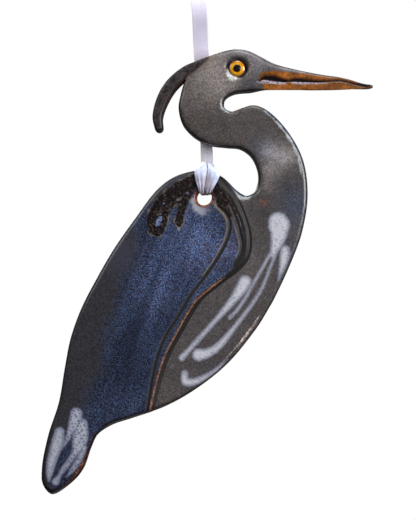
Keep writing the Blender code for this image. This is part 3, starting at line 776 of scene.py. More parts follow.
def heron_mesh():
    """The fired heron as one closed mesh, with the fields its glaze goes by as attributes."""
    outline = heron_outline()
    back_outline = undercut(outline)
    loop, back_loop = outline[:, :2], back_outline[:, :2]
    hole_front, hole_back = circle(HOLE_FRONT, BORE), circle(HOLE_BACK, BORE)
    front, front_faces = triangulate(loop, hole_front, front_points(outline))
    back, back_faces = triangulate(back_loop, hole_back, back_points(back_outline))

    fields = surface_fields(front)
    front_height, fields["edge"] = plain_height(front, outline, HOLE_FRONT, BORE_LIP)
    front_y = -(front_height + relief(front, fields["edge"], fields))
    back_height, _ = plain_height(back, back_outline, HOLE_BACK, BACK_ROUND)
    back_y = back_height + uneven(back, BACK_LUMPS) - BACK_SUNK

    count = len(loop)
    bored = slice(count, count + BORE_SIDES)
    walls = wall(loop, back_loop, front_y[:count], back_y[:count], 7)
    bore = wall(hole_front, hole_back, front_y[bored], back_y[bored], 8)
    blocks = [np.column_stack([front, front_y]), np.column_stack([back, back_y]), *walls, *bore]
    starts = np.cumsum([0] + [len(block) for block in blocks]).tolist()
    back_start = starts[1]
    wall_starts, bore_starts = starts[2 : 2 + len(walls)], starts[2 + len(walls) : -1]

    faces = [tuple(face) for face in front_faces]
    faces += [tuple(face[::-1] + back_start) for face in back_faces]
    faces += quads([0, *wall_starts, back_start], count)
    faces += quads([count, *bore_starts, back_start + count], BORE_SIDES)
    places = np.vstack(blocks)
    fields = spread_fields(places, len(front), fields)
    fields["up"] = -sideways(loop, closed=True)[closest(places[:, :2], loop), 1]
    return add_mesh("heron", places, faces, fields)


def spread_fields(places, front_count, front_fields):
    """The front's fields carried over the sides and back, and how far past the front edge each point is."""
    others = places[front_count:]
    rest = surface_fields(others[:, :2])
    rest["edge"] = np.zeros(len(others))
    fields = {name: np.concatenate([front_fields[name], rest[name]]) for name in rest}
    past = np.maximum((others[:, 2] / half_thickness(others) + 1) * HALF - EDGE_ROUND, 0.0)
    fields["past"] = np.concatenate([np.zeros(front_count), past])
    return fields


# Meshes


def quads(starts, count, inside_out=False):
    """The quads between rings of that many points, given the number of each ring's first point."""
    faces = []
    for low, high in zip(starts, starts[1:]):
        for i in range(count):
            j = (i + 1) % count
            if inside_out:
                faces.append((low + i, low + j, high + j, high + i))
            else:
                faces.append((low + i, high + i, high + j, low + j))
    return faces


def between_poles(rings, count, inside_out=False):
    """The faces of a closed body: one point, that many rings of points, and one point again."""
    last = 1 + rings * count
    faces = quads([1 + ring * count for ring in range(rings)], count, inside_out)
    for i in range(count):
        j = (i + 1) % count
        ends = ((0, 1 + i, 1 + j), (last, last - count + j, last - count + i))
        faces += [end[::-1] if inside_out else end for end in ends]
    return faces


def in_row(places):
    """Places as (u, v, y) turned into points of the frame, in metres."""
    u, v, y = np.asarray(places, float).T
    return np.stack([u + HOLE_X, y, v + HOLE_Z], axis=1) * MM


def add_mesh(name, places, faces, fields=None):
    mesh = bpy.data.meshes.new(name)
    mesh.from_pydata(in_row(places).tolist(), [], [tuple(int(i) for i in face) for face in faces])
    for field, values in (fields or {}).items():
        attribute = mesh.attributes.new(field, "FLOAT", "POINT")
        attribute.data.foreach_set("value", np.asarray(values, np.float32))
    mesh.shade_smooth()
    return add_to_scene(name, mesh)


def add_to_scene(name, data):
    made = bpy.data.objects.new(name, data)
    bpy.context.scene.collection.objects.link(made)
    return made


# Materials


def srgb(red, green, blue):
    """A colour of 0 to 255 values as linear RGBA."""
    parts = [part / 255 for part in (red, green, blue)]
    linear = [part / 12.92 if part <= 0.04045 else ((part + 0.055) / 1.055) ** 2.4 for part in parts]
    return (*linear, 1.0)


class Paint:
    """A material's nodes. Most methods return a socket that later ones can take.

    A colour is a socket or a tuple of 0 to 255. Shakes are (noise, amount) pairs that move a value up
    and down.
    """

    def __init__(self, name):
        self.material = bpy.data.materials.new(name)
        self.material.use_nodes = True
        self.tree = self.material.node_tree
        self.shader = self.tree.nodes["Principled BSDF"]
        self.place = self.scaled(self.add("ShaderNodeTexCoord").outputs["Object"], 1 / MM)

    def add(self, kind, inputs=None, **settings):
        node = self.tree.nodes.new(kind)
        for name, value in settings.items():
            setattr(node, name, value)
        for name, value in (inputs or {}).items():
            self.feed(node.inputs[name], value)
        return node

    def feed(self, socket, value):
        if isinstance(value, bpy.types.NodeSocket):
            self.tree.links.new(value, socket)
        else:
            socket.default_value = value

    def axis(self, letter):
        return self.add("ShaderNodeSeparateXYZ", {0: self.place}).outputs[letter]

    def noise(self, size, detail=2.0, roughness=0.5, seed=0.0, place=None):
        inputs = {"Vector": place or self.place, "W": seed, "Scale": 1 / size}
        inputs.update({"Detail": detail, "Roughness": roughness})
        return self.add("ShaderNodeTexNoise", inputs, noise_dimensions="4D").outputs[0]

    def pits(self, apart, low, high):
        """Round dots that far apart, 1 in each one's middle. Their radii are shares of that, high to low."""
        node = self.add("ShaderNodeTexVoronoi", {"Vector": self.place, "Scale": 1 / apart})
        return self.step(node.outputs["Distance"], high, low)

    def math(self, operation, first, second=0.0):
        return self.add("ShaderNodeMath", {0: first, 1: second}, operation=operation).outputs[0]

    def times(self, first, *others):
        for other in others:
            first = self.math("MULTIPLY", first, other)
        return first

    def shaken(self, value, *shakes):
        for noise, amount in shakes:
            value = self.math("ADD", value, self.times(self.math("SUBTRACT", noise, 0.5), amount))
        return value

    def field(self, name, *shakes):
        return self.shaken(self.add("ShaderNodeAttribute", attribute_name=name).outputs["Fac"], *shakes)

    def step(self, value, low, high):
        """A smooth step from 0 at low to 1 at high, which may be below low."""
        inputs = {"Value": value, "From Min": min(low, high), "From Max": max(low, high)}
        inputs.update({"To Min": float(low > high), "To Max": float(low < high)})
        return self.add("ShaderNodeMapRange", inputs, interpolation_type="SMOOTHSTEP").outputs[0]

    def inside(self, name, low, high, *shakes):
        """A smooth step of a field."""
        return self.step(self.field(name, *shakes), low, high)

    def between(self, factor, low, high):
        """A number that goes from low to high with the factor."""
        return self.add("ShaderNodeMix", {0: factor, 2: low, 3: high}, data_type="FLOAT").outputs[0]

    def mix(self, factor, below, above):
        below, above = (srgb(*part) if isinstance(part, tuple) else part for part in (below, above))
        return self.add("ShaderNodeMix", {0: factor, 6: below, 7: above}, data_type="RGBA").outputs[2]

    def over(self, colour, mask, share, above):
        """A colour with that share of another over it where the mask is 1."""
        return self.mix(self.times(mask, share), colour, above)

    def tones(self, value, low, high, first, last):
        """Two colours, one where the value is at low and the other where it is at high."""
        return self.mix(self.step(value, low, high), first, last)

    def scaled(self, vector, factor):
        inputs = {0: vector, "Scale": factor}
        return self.add("ShaderNodeVectorMath", inputs, operation="SCALE").outputs[0]

    def along_wing(self, squeeze):
        """The place turned so that patterns run down the wing, and squeezed along it."""
        inputs = {"Vector": self.place, "Angle": WING_LEAN}
        turned = self.add("ShaderNodeVectorRotate", inputs, rotation_type="Y_AXIS").outputs[0]
        inputs = {0: turned, 1: (1.0, 1.0, squeeze)}
        return self.add("ShaderNodeVectorMath", inputs, operation="MULTIPLY").outputs[0]

    def bump(self, height, depth):
        """Raises the surface by up to that many millimetres."""
        node = self.add("ShaderNodeBump", {"Distance": depth * MM, "Height": height})
        self.feed(self.shader.inputs["Normal"], node.outputs[0])

    def finished(self, colour, **settings):
        """The material, once the shader has its colour and its other inputs."""
        self.feed(self.shader.inputs["Base Color"], colour)
        for name, value in settings.items():
            self.feed(self.shader.inputs[name.replace("_", " ")], value)
        return self.material


def stoneware_glaze():
    """The heron's glaze, coat over coat, and its bare clay. The coats share these noises."""
    p = Paint("stoneware_glaze")
    p.cloud = p.noise(7.0, 2.0, 0.5, 1.0)
    p.blotch = p.noise(2.0, 3.0, 0.55, 2.0)
    p.grain = p.noise(0.42, 3.0, 0.6, 3.0)
    p.fine = p.noise(0.2, 2.0, 0.6, 4.0)
    p.bare = p.inside("past", BARE_FROM, BARE_FROM + 0.3, (p.blotch, 1.2))

    coats = (blue_wing, hole_ring, shoulder_patch, white_strokes, painted_rim_highlights)
    coats += (dark_lines, eye_surround, crest_glaze, bill_glaze, side_and_back)
    colour = slate(p)
    for coat in coats:
        colour = coat(p, colour)

    gloss = p.between(p.step(p.blotch, 0.3, 0.7), 0.28, 0.34)
    gloss = p.between(p.inside("line", -0.6, -0.1), gloss, 0.55)
    gloss = p.between(p.inside("crest", -0.3, 0.0), gloss, 0.5)
    height = p.between(p.bare, p.blotch, p.times(p.grain, 1.2))
    p.bump(p.shaken(height, (p.grain, 0.35)), 0.035)
    gloss = p.between(p.bare, gloss, 0.85)
    return p.finished(p.scaled(colour, GLAZE_DEPTH), Roughness=gloss, Specular_IOR_Level=0.36)


def slate(p):
    """The grey glaze of the head, neck and breast, browner below the neck and bluish at places. On the crown
    the bluish grey is a painted reflection of the light from above.
    """
    coarse = p.between(p.step(p.grain, 0.36, 0.64), 0.73, 1.27)
    finer = p.between(p.step(p.fine, 0.36, 0.64), 0.72, 1.28)
    shade = p.times(p.field("shade"), p.between(p.cloud, 0.8, 1.2), p.between(p.blotch, 0.7, 1.3))
    low = p.step(p.shaken(p.axis("Z"), (p.blotch, 6.0)), HOLE_Z + 6.0, HOLE_Z - 4.0)
    tint = p.mix(low, (81, 76, 75), (83, 78, 79))
    tint = p.over(tint, p.step(p.noise(3.2, 3.0, 0.6, 8.0), 0.45, 0.7), 0.45, (84, 75, 68))
    tint = p.mix(p.field("cool"), tint, (68, 73, 88))
    colour = p.scaled(tint, p.times(shade, coarse, finer))
    rust = p.times(p.step(p.blotch, 0.6, 0.72), p.step(p.grain, 0.5, 0.62), p.between(low, 0.25, 0.45))
    colour = p.mix(rust, colour, (104, 68, 50))
    colour = p.over(colour, p.inside("rust", 0.2, 1.2, (p.grain, 1.0)), 0.6, (134, 88, 66))
    return p.over(colour, p.step(p.noise(0.3, 1.0, 0.4, 12.0), 0.74, 0.78), 0.6, (158, 154, 150))


def blue_wing(p, colour):
    """Blue speckled glaze over the wing, with charcoal where it runs out towards the back."""
    wing = p.inside("wing", -0.1, 0.4, (p.grain, 0.5))
    dots = p.noise(0.26, 1.5, 0.6, 13.0)
    charcoal = p.tones(p.grain, 0.35, 0.7, (42, 41, 46), (62, 60, 67))
    charcoal = p.over(charcoal, p.inside("shade", 0.4, 0.6), 0.5, (66, 68, 82))
    charcoal = p.over(charcoal, p.step(dots, 0.68, 0.74), 0.6, (112, 112, 118))
    colour = p.mix(wing, colour, charcoal)
    speckle = p.tones(p.grain, 0.4, 0.6, (34, 42, 70), (76, 100, 150))
    speckle = p.over(speckle, p.step(dots, 0.5, 0.62), 0.85, (134, 152, 196))
    speckle = p.over(speckle, p.step(dots, 0.46, 0.32), 0.4, (26, 30, 52))
    mauve = p.math("ADD", p.noise(0.4, 3.0, 0.6, 5.0), p.times(p.field("mauve"), 0.1))
    speckle = p.over(speckle, p.step(mauve, 0.52, 0.62), 0.7, (86, 72, 88))
    streaks = p.step(p.noise(2.6, 3.0, 0.55, 7.0, p.along_wing(0.16)), 0.3, 0.7)
    speckle = p.scaled(speckle, p.times(p.field("shade"), p.between(streaks, 0.6, 1.3)))
    blue = p.inside("blue", -2.2, 2.6, (p.noise(4.0, 3.0, 0.6, 6.0), 7.0))
    return p.mix(p.times(wing, blue), colour, speckle)


def hole_ring(p, colour):
    """A milky halo under the hanging hole, and bare rust-brown clay round it."""
    halo = p.inside("halo", 0.2, 1.1, (p.blotch, 0.6), (p.grain, 1.0))
    colour = p.over(colour, halo, 0.8, (172, 174, 186))
    rust = p.inside("hole", 2.15, 1.95, (p.blotch, 0.25))
    return p.mix(rust, colour, p.tones(p.grain, 0.4, 0.6, (84, 40, 26), (144, 80, 50)))


def shoulder_patch(p, colour):
    """Black-brown granular glaze below the shoulder, with a broken olive edge, milky spots, and pale and
    bluish specks of painted glint.
    """
    ragged = p.noise(0.9, 3.0, 0.6, 14.0)
    spotty = p.noise(0.6, 2.0, 0.6, 18.0)
    depth = p.field("patch", (ragged, 1.3), (p.grain, 0.35))
    rim = p.times(p.step(depth, -0.35, -0.1), p.step(depth, 0.25, 0.05), p.step(p.blotch, 0.42, 0.6))
    colour = p.over(colour, rim, 0.7, (128, 112, 92))
    dark = p.tones(p.grain, 0.44, 0.64, (9, 4, 5), (44, 33, 31))
    # Pale specks and bluish specks: painted glints on the glossy glaze.
    dark = p.over(dark, p.step(p.noise(0.36, 2.0, 0.6, 15.0), 0.56, 0.66), 0.75, (98, 84, 84))
    dark = p.over(dark, p.step(ragged, 0.64, 0.74), 0.4, (86, 96, 120))
    fleck = p.tones(p.grain, 0.4, 0.6, (60, 74, 112), (132, 146, 176))
    dark = p.mix(p.inside("fleck", 0.4, 0.8, (spotty, 1.4)), dark, fleck)
    colour = p.mix(p.step(depth, -0.02, 0.22), colour, dark)
    milky = p.inside("milky", 0.4, 0.9, (spotty, 1.6), (p.grain, 0.5))
    return p.over(colour, milky, 0.7, (150, 148, 148))


def white_strokes(p, colour):
    """Brushed white glaze, greyer and thinner at its edges and on the tail, pitted with dark dots."""
    depth = p.field("stroke", (p.grain, 0.35), (p.fine, 0.25))
    tail = p.step(p.axis("Z"), HOLE_Z - 39.0, HOLE_Z - 42.0)
    on_breast = p.times(p.pits(0.5, 0.18, 0.42), p.step(p.blotch, 0.25, 0.5))
    smoother = p.step(p.axis("X"), HOLE_X - 28.6, HOLE_X - 27.6)
    on_tail = p.times(p.pits(0.56, 0.26, 0.5), p.between(smoother, 0.35, 1.0))
    body = p.tones(depth, 0.0, 1.0, (122, 122, 138), (204, 205, 214))
    body = p.over(body, p.between(tail, on_breast, on_tail), p.between(tail, 0.5, 0.75), (52, 56, 82))
    grey = p.between(tail, p.times(p.step(p.fine, 0.5, 0.65), 0.4), p.step(p.fine, 0.36, 0.6))
    body = p.over(body, grey, 0.7, (112, 120, 152))
    return p.mix(p.step(depth, -0.12, 0.26), colour, body)


def painted_rim_highlights(p, colour):
    """Painted highlight, whitish, on the rims that face up, with a deep blue line outside it as painted
    reflection.
    """
    depth = p.field("gathered", (p.grain, 0.7), (p.blotch, 0.9))
    outside = p.times(p.step(depth, -0.9, -0.5), p.inside("edge", 0.5, 0.3), p.inside("past", 0.3, 0.0))
    colour = p.over(colour, outside, 0.9, (36, 58, 84))
    white = p.times(p.step(depth, -0.25, 0.25), p.inside("past", 0.6, 0.1))
    return p.over(colour, white, 0.85, (186, 191, 193))


def dark_lines(p, colour):
    """Dark glaze in the cut lines, painted shade along the lower rims, and bright edges where it has run off.
    """
    broken = p.step(p.blotch, 0.36, 0.58)
    pale = p.inside("pale", -0.14, 0.1, (p.grain, 0.3))
    colour = p.over(colour, pale, p.between(broken, 0.3, 0.75), (126, 112, 96))
    dark = p.tones(p.grain, 0.4, 0.7, (4, 2, 2), (30, 18, 15))
    colour = p.mix(p.inside("line", -0.14, 0.1, (p.grain, 0.35)), colour, dark)
    # Painted shade along the lower rims, black-brown
    brown = p.tones(p.blotch, 0.5, 0.7, (14, 9, 10), (52, 30, 22))
    colour = p.over(colour, p.inside("lower_rim_shade", -0.3, 0.2, (p.blotch, 0.5)), 0.9, brown)
    orange = p.tones(p.grain, 0.35, 0.65, (104, 64, 44), (178, 124, 90))
    # buff goes on the breast's ridge: its glaze break with a painted highlight
    buff = p.tones(p.grain, 0.35, 0.65, (120, 104, 96), (232, 220, 210))
    russet = p.tones(p.grain, 0.5, 0.65, (92, 42, 28), (168, 118, 88))
    bright = p.mix(p.inside("wing", -1.0, -2.0), orange, buff)
    bright = p.mix(p.step(p.axis("X"), HOLE_X - 18.0, HOLE_X - 20.0), bright, russet)
    ridge = p.inside("ridge", -0.12, 0.08, (p.grain, 0.25))
    return p.over(colour, ridge, p.between(broken, 0.45, 0.95), bright)


def eye_surround(p, colour):
    """A painted shadow over the eye in dark brown, a brown ring round it and a drop of white glaze under it.
    """
    colour = p.over(colour, p.inside("shadow", -0.55, 0.3, (p.blotch, 0.5)), 0.75, (50, 46, 42))
    white = p.inside("white", -0.4, 0.5, (p.grain, 0.7), (p.blotch, 0.5))
    colour = p.over(colour, white, 0.95, p.tones(p.grain, 0.4, 0.6, (196, 196, 192), (244, 246, 242)))
    ring = p.inside("eye", 1.95, 1.7, (p.blotch, 0.3))
    return p.over(colour, ring, p.between(white, 0.85, 0.15), (66, 40, 20))


def crest_glaze(p, colour):
    """Granular black-brown glaze with a rusty border, and painted shadow along its inner edge."""
    depth = p.field("crest")
    umber = p.tones(p.grain, 0.42, 0.62, (14, 9, 11), (64, 53, 54))
    umber = p.over(umber, p.step(p.blotch, 0.5, 0.7), 0.3, (88, 80, 84))
    umber = p.over(umber, p.step(p.fine, 0.66, 0.74), 0.6, (128, 116, 116))
    umber = p.mix(p.inside("crest_shade", -0.25, 0.1, (p.grain, 0.3)), umber, (14, 9, 9))
    colour = p.mix(p.step(p.shaken(depth, (p.grain, 0.3)), 0.0, 0.15), colour, umber)
    border = p.times(p.step(depth, -0.25, -0.05), p.step(depth, 0.2, 0.05))
    return p.over(colour, border, p.between(p.blotch, 0.1, 0.8), (116, 70, 46))


def bill_glaze(p, colour):
    """Amber glaze, dark brown towards the mouth, whose lower side is milky."""
    amber = p.tones(p.blotch, 0.35, 0.65, (106, 58, 10), (166, 94, 24))
    amber = p.over(amber, p.step(p.grain, 0.48, 0.6), 0.7, (84, 50, 20))
    amber = p.over(amber, p.step(p.fine, 0.56, 0.66), 0.5, (192, 134, 72))
    colour = p.mix(p.inside("bill", -0.2, 0.2, (p.grain, 0.5)), colour, amber)
    mouth = p.field("mouth", (p.grain, 0.2), (p.blotch, 0.3))
    colour = p.over(colour, p.step(mouth, -0.6, 0.0), 0.7, (70, 42, 20))
    milky = p.tones(p.grain, 0.4, 0.65, (168, 158, 172), (96, 80, 84))
    colour = p.mix(p.inside("lip", -0.16, 0.14, (p.grain, 0.4)), colour, milky)
    return p.mix(p.step(mouth, -0.1, 0.12), colour, (15, 9, 8))


def side_and_back(p, colour):
    """Dark glaze broken to rust over the edge, darker on rims that don't face up with painted shade, and bare
    toasted clay on the back.
    """
    edge = p.times(p.inside("edge", 0.5, 0.12, (p.grain, 0.2)), p.inside("bill", 0.2, -0.2))
    dark = p.tones(p.blotch, 0.45, 0.7, (20, 15, 15), (70, 40, 28))
    # The dark edge keeps off rims that face up: partly the glaze's break, partly painted shade on rims turned
    # from the light.
    colour = p.over(colour, p.times(edge, p.inside("up", 0.6, 0.1)), 0.9, dark)
    clay = p.tones(p.noise(9.0, 4.0, 0.6, 19.0), 0.3, 0.7, (160, 122, 92), (196, 162, 128))
    clay = p.over(clay, p.step(p.grain, 0.4, 0.7), 0.35, (142, 102, 74))
    clay = p.over(clay, p.pits(1.9, 0.06, 0.13), 0.8, (74, 46, 34))
    return p.mix(p.bare, colour, clay)


def iris_glaze():
    """Amber, darker at the rim, and darker above with painted shade."""
    p = Paint("iris_glaze")
    grain = p.noise(0.4, 3.0, 0.6, 9.0)
    eye_z = HOLE_Z + EYE[1]
    amber = p.tones(grain, 0.35, 0.7, (196, 124, 6), (236, 178, 24))
    # Painted shade: darker over the upper part of the iris.
    amber = p.over(amber, p.step(p.axis("Z"), eye_z - 0.3, eye_z + 1.5), 0.4, (140, 82, 8))
    amber = p.over(amber, p.inside("eye", 1.05, 1.6, (grain, 0.8)), 0.85, (104, 56, 12))
    return p.finished(amber, Roughness=0.2, Coat_Weight=0.4)


def pupil_glaze():
    p = Paint("pupil_glaze")
    colour = p.tones(p.noise(0.4, 3.0, 0.6, 10.0), 0.35, 0.7, (12, 8, 6), (28, 18, 12))
    return p.finished(colour, Roughness=0.3, Specular_IOR_Level=0.25)


def satin():
    """White satin with a lavender cast and fine twill lines across it, greyer with painted shade under the
    neck and round the hole, and darker and bluer on the hitch as painted shade.
    """
    p = Paint("satin")
    twill = p.times(p.math("ADD", p.field("across"), p.times(p.field("along"), 0.35)), 26.0)
    slub = p.noise(0.25, 3.0, 0.6, 11.0)
    colour = p.tones(slub, 0.3, 0.75, (236, 228, 240), (254, 248, 252))
    colour = p.over(colour, p.step(p.noise(3.0, 2.0, 0.5, 17.0), 0.35, 0.65), 0.5, (216, 222, 255))
    colour = p.over(colour, p.step(p.axis("Z"), HOLE_Z + 16.0, HOLE_Z + 26.0), 0.9, (230, 224, 255))
    # The hitch is painted darker and bluer than the rest of the satin, as painted shade.
    colour = p.over(colour, p.field("hitch_shade"), 0.85, (186, 198, 232))
    # Painted shade: greyer where the ribbon is tucked in and shaded.
    colour = p.over(colour, p.inside("tucked", 0.2, 0.9, (slub, 0.6)), 0.85, (150, 138, 150))
    p.bump(p.shaken(p.math("SINE", twill), (slub, 1.2)), 0.006)
    soft = {"Subsurface_Weight": 0.7, "Subsurface_Radius": (1.0, 1.0, 1.0), "Subsurface_Scale": 0.8 * MM}
    return p.finished(colour, Roughness=0.36, Sheen_Weight=0.25, **soft)


# The eye


def dome(name, radius, crown, rim_y, back_y, steps=10, sides=64):
    """A round bead over the eye's centre: a shallow dome to its rim, then a plain side to a flat back."""
    angles = np.linspace(0, math.pi / 2, steps)[1:]
    profile = [(radius * math.sin(a), rim_y - crown * math.cos(a)) for a in angles] + [(radius, back_y)]
    turns = np.linspace(0, 2 * math.pi, sides, endpoint=False)
    places = [(*EYE, rim_y - crown)]
    for reach, y in profile:
        places += [(EYE[0] + reach * math.cos(a), EYE[1] + reach * math.sin(a), y) for a in turns]
    places.append((*EYE, back_y))
    fields = {"eye": from_spot(np.array(places), EYE)}
    return add_mesh(name, places, between_poles(len(profile), sides), fields)


# The ribbon

RIBBON_WIDTH = 3.1
RIBBON_THICK = 0.4
CLOTH_THICK = 0.26
RIBBON_COLUMNS = 18  # of points across each side of it
BELOW_NECK_WIDTH = 2.45
HITCH_WIDTH = 1.9
HITCH_U = 0.5  # the middle of the strands where the hitch holds them
HITCH_V = 5.6
LOOP_OPEN = 4.4  # between the strands above the head
GAP = 0.3
HOOK_U, HOOK_V = -HOLE_X, -HOLE_Z  # where the ornament hangs from, the frame's origin
KNOT_SIZE = (4.4, 3.4, 3.8)
KNOT_V = HOOK_V + 2.4
END_LENGTH = 5.5

# The knot's turns: (axis, height, half width). Between them lies its core.
KNOT_TURNS = [
    ((0.62, 0.25, 0.74), 1.0, 0.42),
    ((-0.72, 0.2, 0.66), 0.95, 0.4),
    ((0.1, -0.95, 0.25), 0.93, 0.75),
]
KNOT_CORE = 0.6

# How far behind the slab the two strands run, and the hitch behind both
FRONT_STRAND = HALF + GAP + RIBBON_THICK / 2
BACK_STRAND = FRONT_STRAND + GAP + RIBBON_THICK
BEHIND = BACK_STRAND + GAP + RIBBON_THICK

# Painted shade on the ribbon: greyer under the neck, where the neck shades it, and where it goes into the
# hole
STRAND_SHADE = [(0.5, 12.4, 1.8, 0.15), (0.5, 1.6, 1.6, 1.3)]
HOLE_SHADE = [(0.3, 0.6, 1.3, 1.0), (0.3, 2.4, 1.5, 0.8), (-1.7, 3.4, 0.7, 0.4), (0.5, 4.6, 2.4, 0.5)]


def ribbon(name, stations, tucked=(), spacing=DRAWN):
    """A band of satin through stations, with its spots of painted shade, greyer where it is tucked in, as (u,
    v, reach, amount).

    A station is the middle's u, y and v, half of the width along u and along v, the depth of the pleats,
    and the crown.
    """
    fine = spline(stations, spacing)
    middle, pleats, crowns = fine[:, :3], fine[:, 5:6], fine[:, 6:7]
    half = np.insert(fine[:, 3:5], 1, 0.0, axis=1)
    through = np.cross(np.gradient(middle, axis=0), half)
    through /= np.linalg.norm(through, axis=1)[:, None]
    along = walked(middle)
    outer = np.linspace(-1, 1, RIBBON_COLUMNS)
    shares = np.concatenate([outer, outer[::-1]])
    hem = CLOTH_THICK / 2 * np.where(abs(shares) < 0.9, 1.0, 1.15)
    hem[:RIBBON_COLUMNS] *= -1
    waves = pleats * np.cos(2.5 * math.pi * shares + 0.4 * np.sin(1.3 * along)[:, None])
    lift = waves - crowns * (1 - shares**2) + hem
    spots = middle[:, None] + half[:, None] * shares[:, None] + through[:, None] * lift[:, :, None]
    places = spots.reshape(-1, 3)[:, [0, 2, 1]]
    ring, rows = len(shares), len(middle)
    faces = quads([row * ring for row in range(rows)], ring, inside_out=True)
    faces += [tuple(range(ring - 1, -1, -1)), tuple(range((rows - 1) * ring, rows * ring))]
    fields = {
        "along": np.repeat(along, ring),
        "across": (np.linalg.norm(half, axis=1)[:, None] * shares).ravel(),
        "tucked": blobs(places, tucked),
        "hitch_shade": np.full(len(places), float(name == "hitch")),
    }
    return add_mesh(name, places, faces, fields)


def strand_stations(behind, side):
    """One strand's route, from the back of the hole up past the head to the knot."""
    gathered, below_neck, spread = HITCH_WIDTH / 2, BELOW_NECK_WIDTH / 2, RIBBON_WIDTH / 2
    top = side * (RIBBON_THICK + GAP) / 2
    return [
        (HITCH_U, behind, 2.2, gathered, 0.0, 0.1, 0.0),
        (HITCH_U, behind, HITCH_V, gathered, 0.0, 0.1, 0.0),
        (HITCH_U, behind, 7.6, below_neck, 0.0, 0.03, 0.1),
        (0.35, behind, 11.4, below_neck, 0.0, 0.02, 0.1),
        (0.1, behind, 16.0, spread, 0.0, 0.0, 0.0),
        (-0.65, behind, CROWN[3][1], spread, 0.0, 0.0, 0.0),
        (HOOK_U + 0.15, side * 0.4 * LOOP_OPEN, HOOK_V - 6.0, spread, 0.0, 0.0, 0.0),
        (HOOK_U, side * 0.5 * LOOP_OPEN, HOOK_V - 3.2, spread, 0.0, 0.03, 0.0),
        (HOOK_U, top, HOOK_V + 0.75, gathered, 0.0, 0.1, 0.0),
    ]


def make_strands():
    strands = []
    for name, behind, side in (("strand_front", FRONT_STRAND, -1), ("strand_back", BACK_STRAND, 1)):
        stations = strand_stations(behind, side)
        strand = ribbon(name, stations, STRAND_SHADE)
        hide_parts(f"ribbon_{name}")
        strands.append(strand)
    return strands


def make_hitch():
    """The cow hitch: through the hole from behind, up the front, over the rim and behind both strands."""
    proud = -HALF - WING_PROUD - GAP - RIBBON_THICK / 2 + 0.06
    beside = HITCH_WIDTH / 2 + GAP + RIBBON_THICK / 2
    bar = 0.6
    left = [
        (HITCH_U, FRONT_STRAND, 2.2, HITCH_WIDTH / 2, 0.0, -0.1, 0.0),
        (HITCH_U - 0.1, FRONT_STRAND - 0.1, 1.8, 0.9, 0.0, -0.05, 0.0),
        (0.1, HALF + 0.1, 1.25, 0.75, 0.0, 0.05, 0.0),
        (-0.2, HALF - 0.7, 0.85, 0.5, 0.0, 0.1, 0.0),
        (-0.42, 0.0, 0.75, 0.32, 0.0, 0.1, 0.0),
        (-0.42, -HALF + 0.6, 0.75, 0.34, 0.0, 0.1, 0.0),
        (-0.52, -HALF - 0.4, 1.05, 0.5, 0.0, 0.1, 0.05),
        (-0.65, proud, 1.95, 0.65, 0.0, 0.08, 0.15),
        (-0.75, proud, 3.3, 0.97, 0.0, 0.06, 0.25),
        (-0.78, proud, 4.6, 1.2, 0.0, 0.04, 0.3),
        (-0.74, -HALF - 0.5, 5.5, 1.22, 0.3, 0.02, 0.25),
        (-0.72, -HALF + 0.6, 6.15, 0.96, 0.7, 0.02, 0.15),
        (-0.7, 0.0, 6.5, 0.66, 0.85, 0.03, 0.1),
        (-0.84, 1.7, 6.35, 0.3, 0.7, 0.05, 0.05),
        (HITCH_U - beside, 3.1, HITCH_V + 0.1, 0.0, bar, 0.05, 0.0),
        (HITCH_U - beside, 3.8, HITCH_V, 0.0, bar, 0.05, 0.0),
        (HITCH_U - 0.75 * beside, BEHIND - 0.05, HITCH_V - 0.1, 0.0, bar, 0.05, 0.0),
    ]
    right = [
        (HITCH_U, BACK_STRAND, 2.2, HITCH_WIDTH / 2, 0.0, -0.1, 0.0),
        (HITCH_U + 0.05, BACK_STRAND - 0.2, 1.55, 0.9, 0.0, -0.05, 0.0),
        (HITCH_U + 0.1, HALF + 0.5, 1.05, 0.75, 0.0, 0.05, 0.0),
        (0.5, HALF - 0.5, 0.85, 0.45, 0.0, 0.08, 0.0),
        (0.42, 0.0, 0.75, 0.32, 0.0, 0.1, 0.0),
        (0.42, -HALF + 0.6, 0.75, 0.34, 0.0, 0.1, 0.0),
        (0.7, -HALF - 0.4, 1.05, 0.56, 0.0, 0.1, 0.05),
        (0.98, proud, 1.95, 0.87, 0.0, 0.08, 0.15),
        (1.47, proud, 3.3, 1.13, 0.0, 0.06, 0.25),
        (1.8, proud, 4.5, 1.23, -0.12, 0.04, 0.3),
        (1.78, -HALF - 0.5, 5.35, 1.18, -0.5, 0.02, 0.25),
        (1.72, -HALF + 0.6, 5.95, 0.98, -0.85, 0.02, 0.15),
        (1.72, 0.0, 6.3, 0.68, -0.95, 0.03, 0.1),
        (1.86, 1.7, 6.3, 0.3, -0.75, 0.05, 0.05),
        (HITCH_U + beside, 3.1, HITCH_V + 0.1, 0.0, -bar, 0.05, 0.0),
        (HITCH_U + beside, 3.8, HITCH_V, 0.0, -bar, 0.05, 0.0),
        (HITCH_U + 0.75 * beside, BEHIND - 0.05, HITCH_V - 0.1, 0.0, -bar, 0.05, 0.0),
    ]
    turned_over = [(*spot[:3], -spot[3], -spot[4], *spot[5:]) for spot in reversed(right)]
    return ribbon("hitch", left + turned_over, HOLE_SHADE, spacing=0.2)


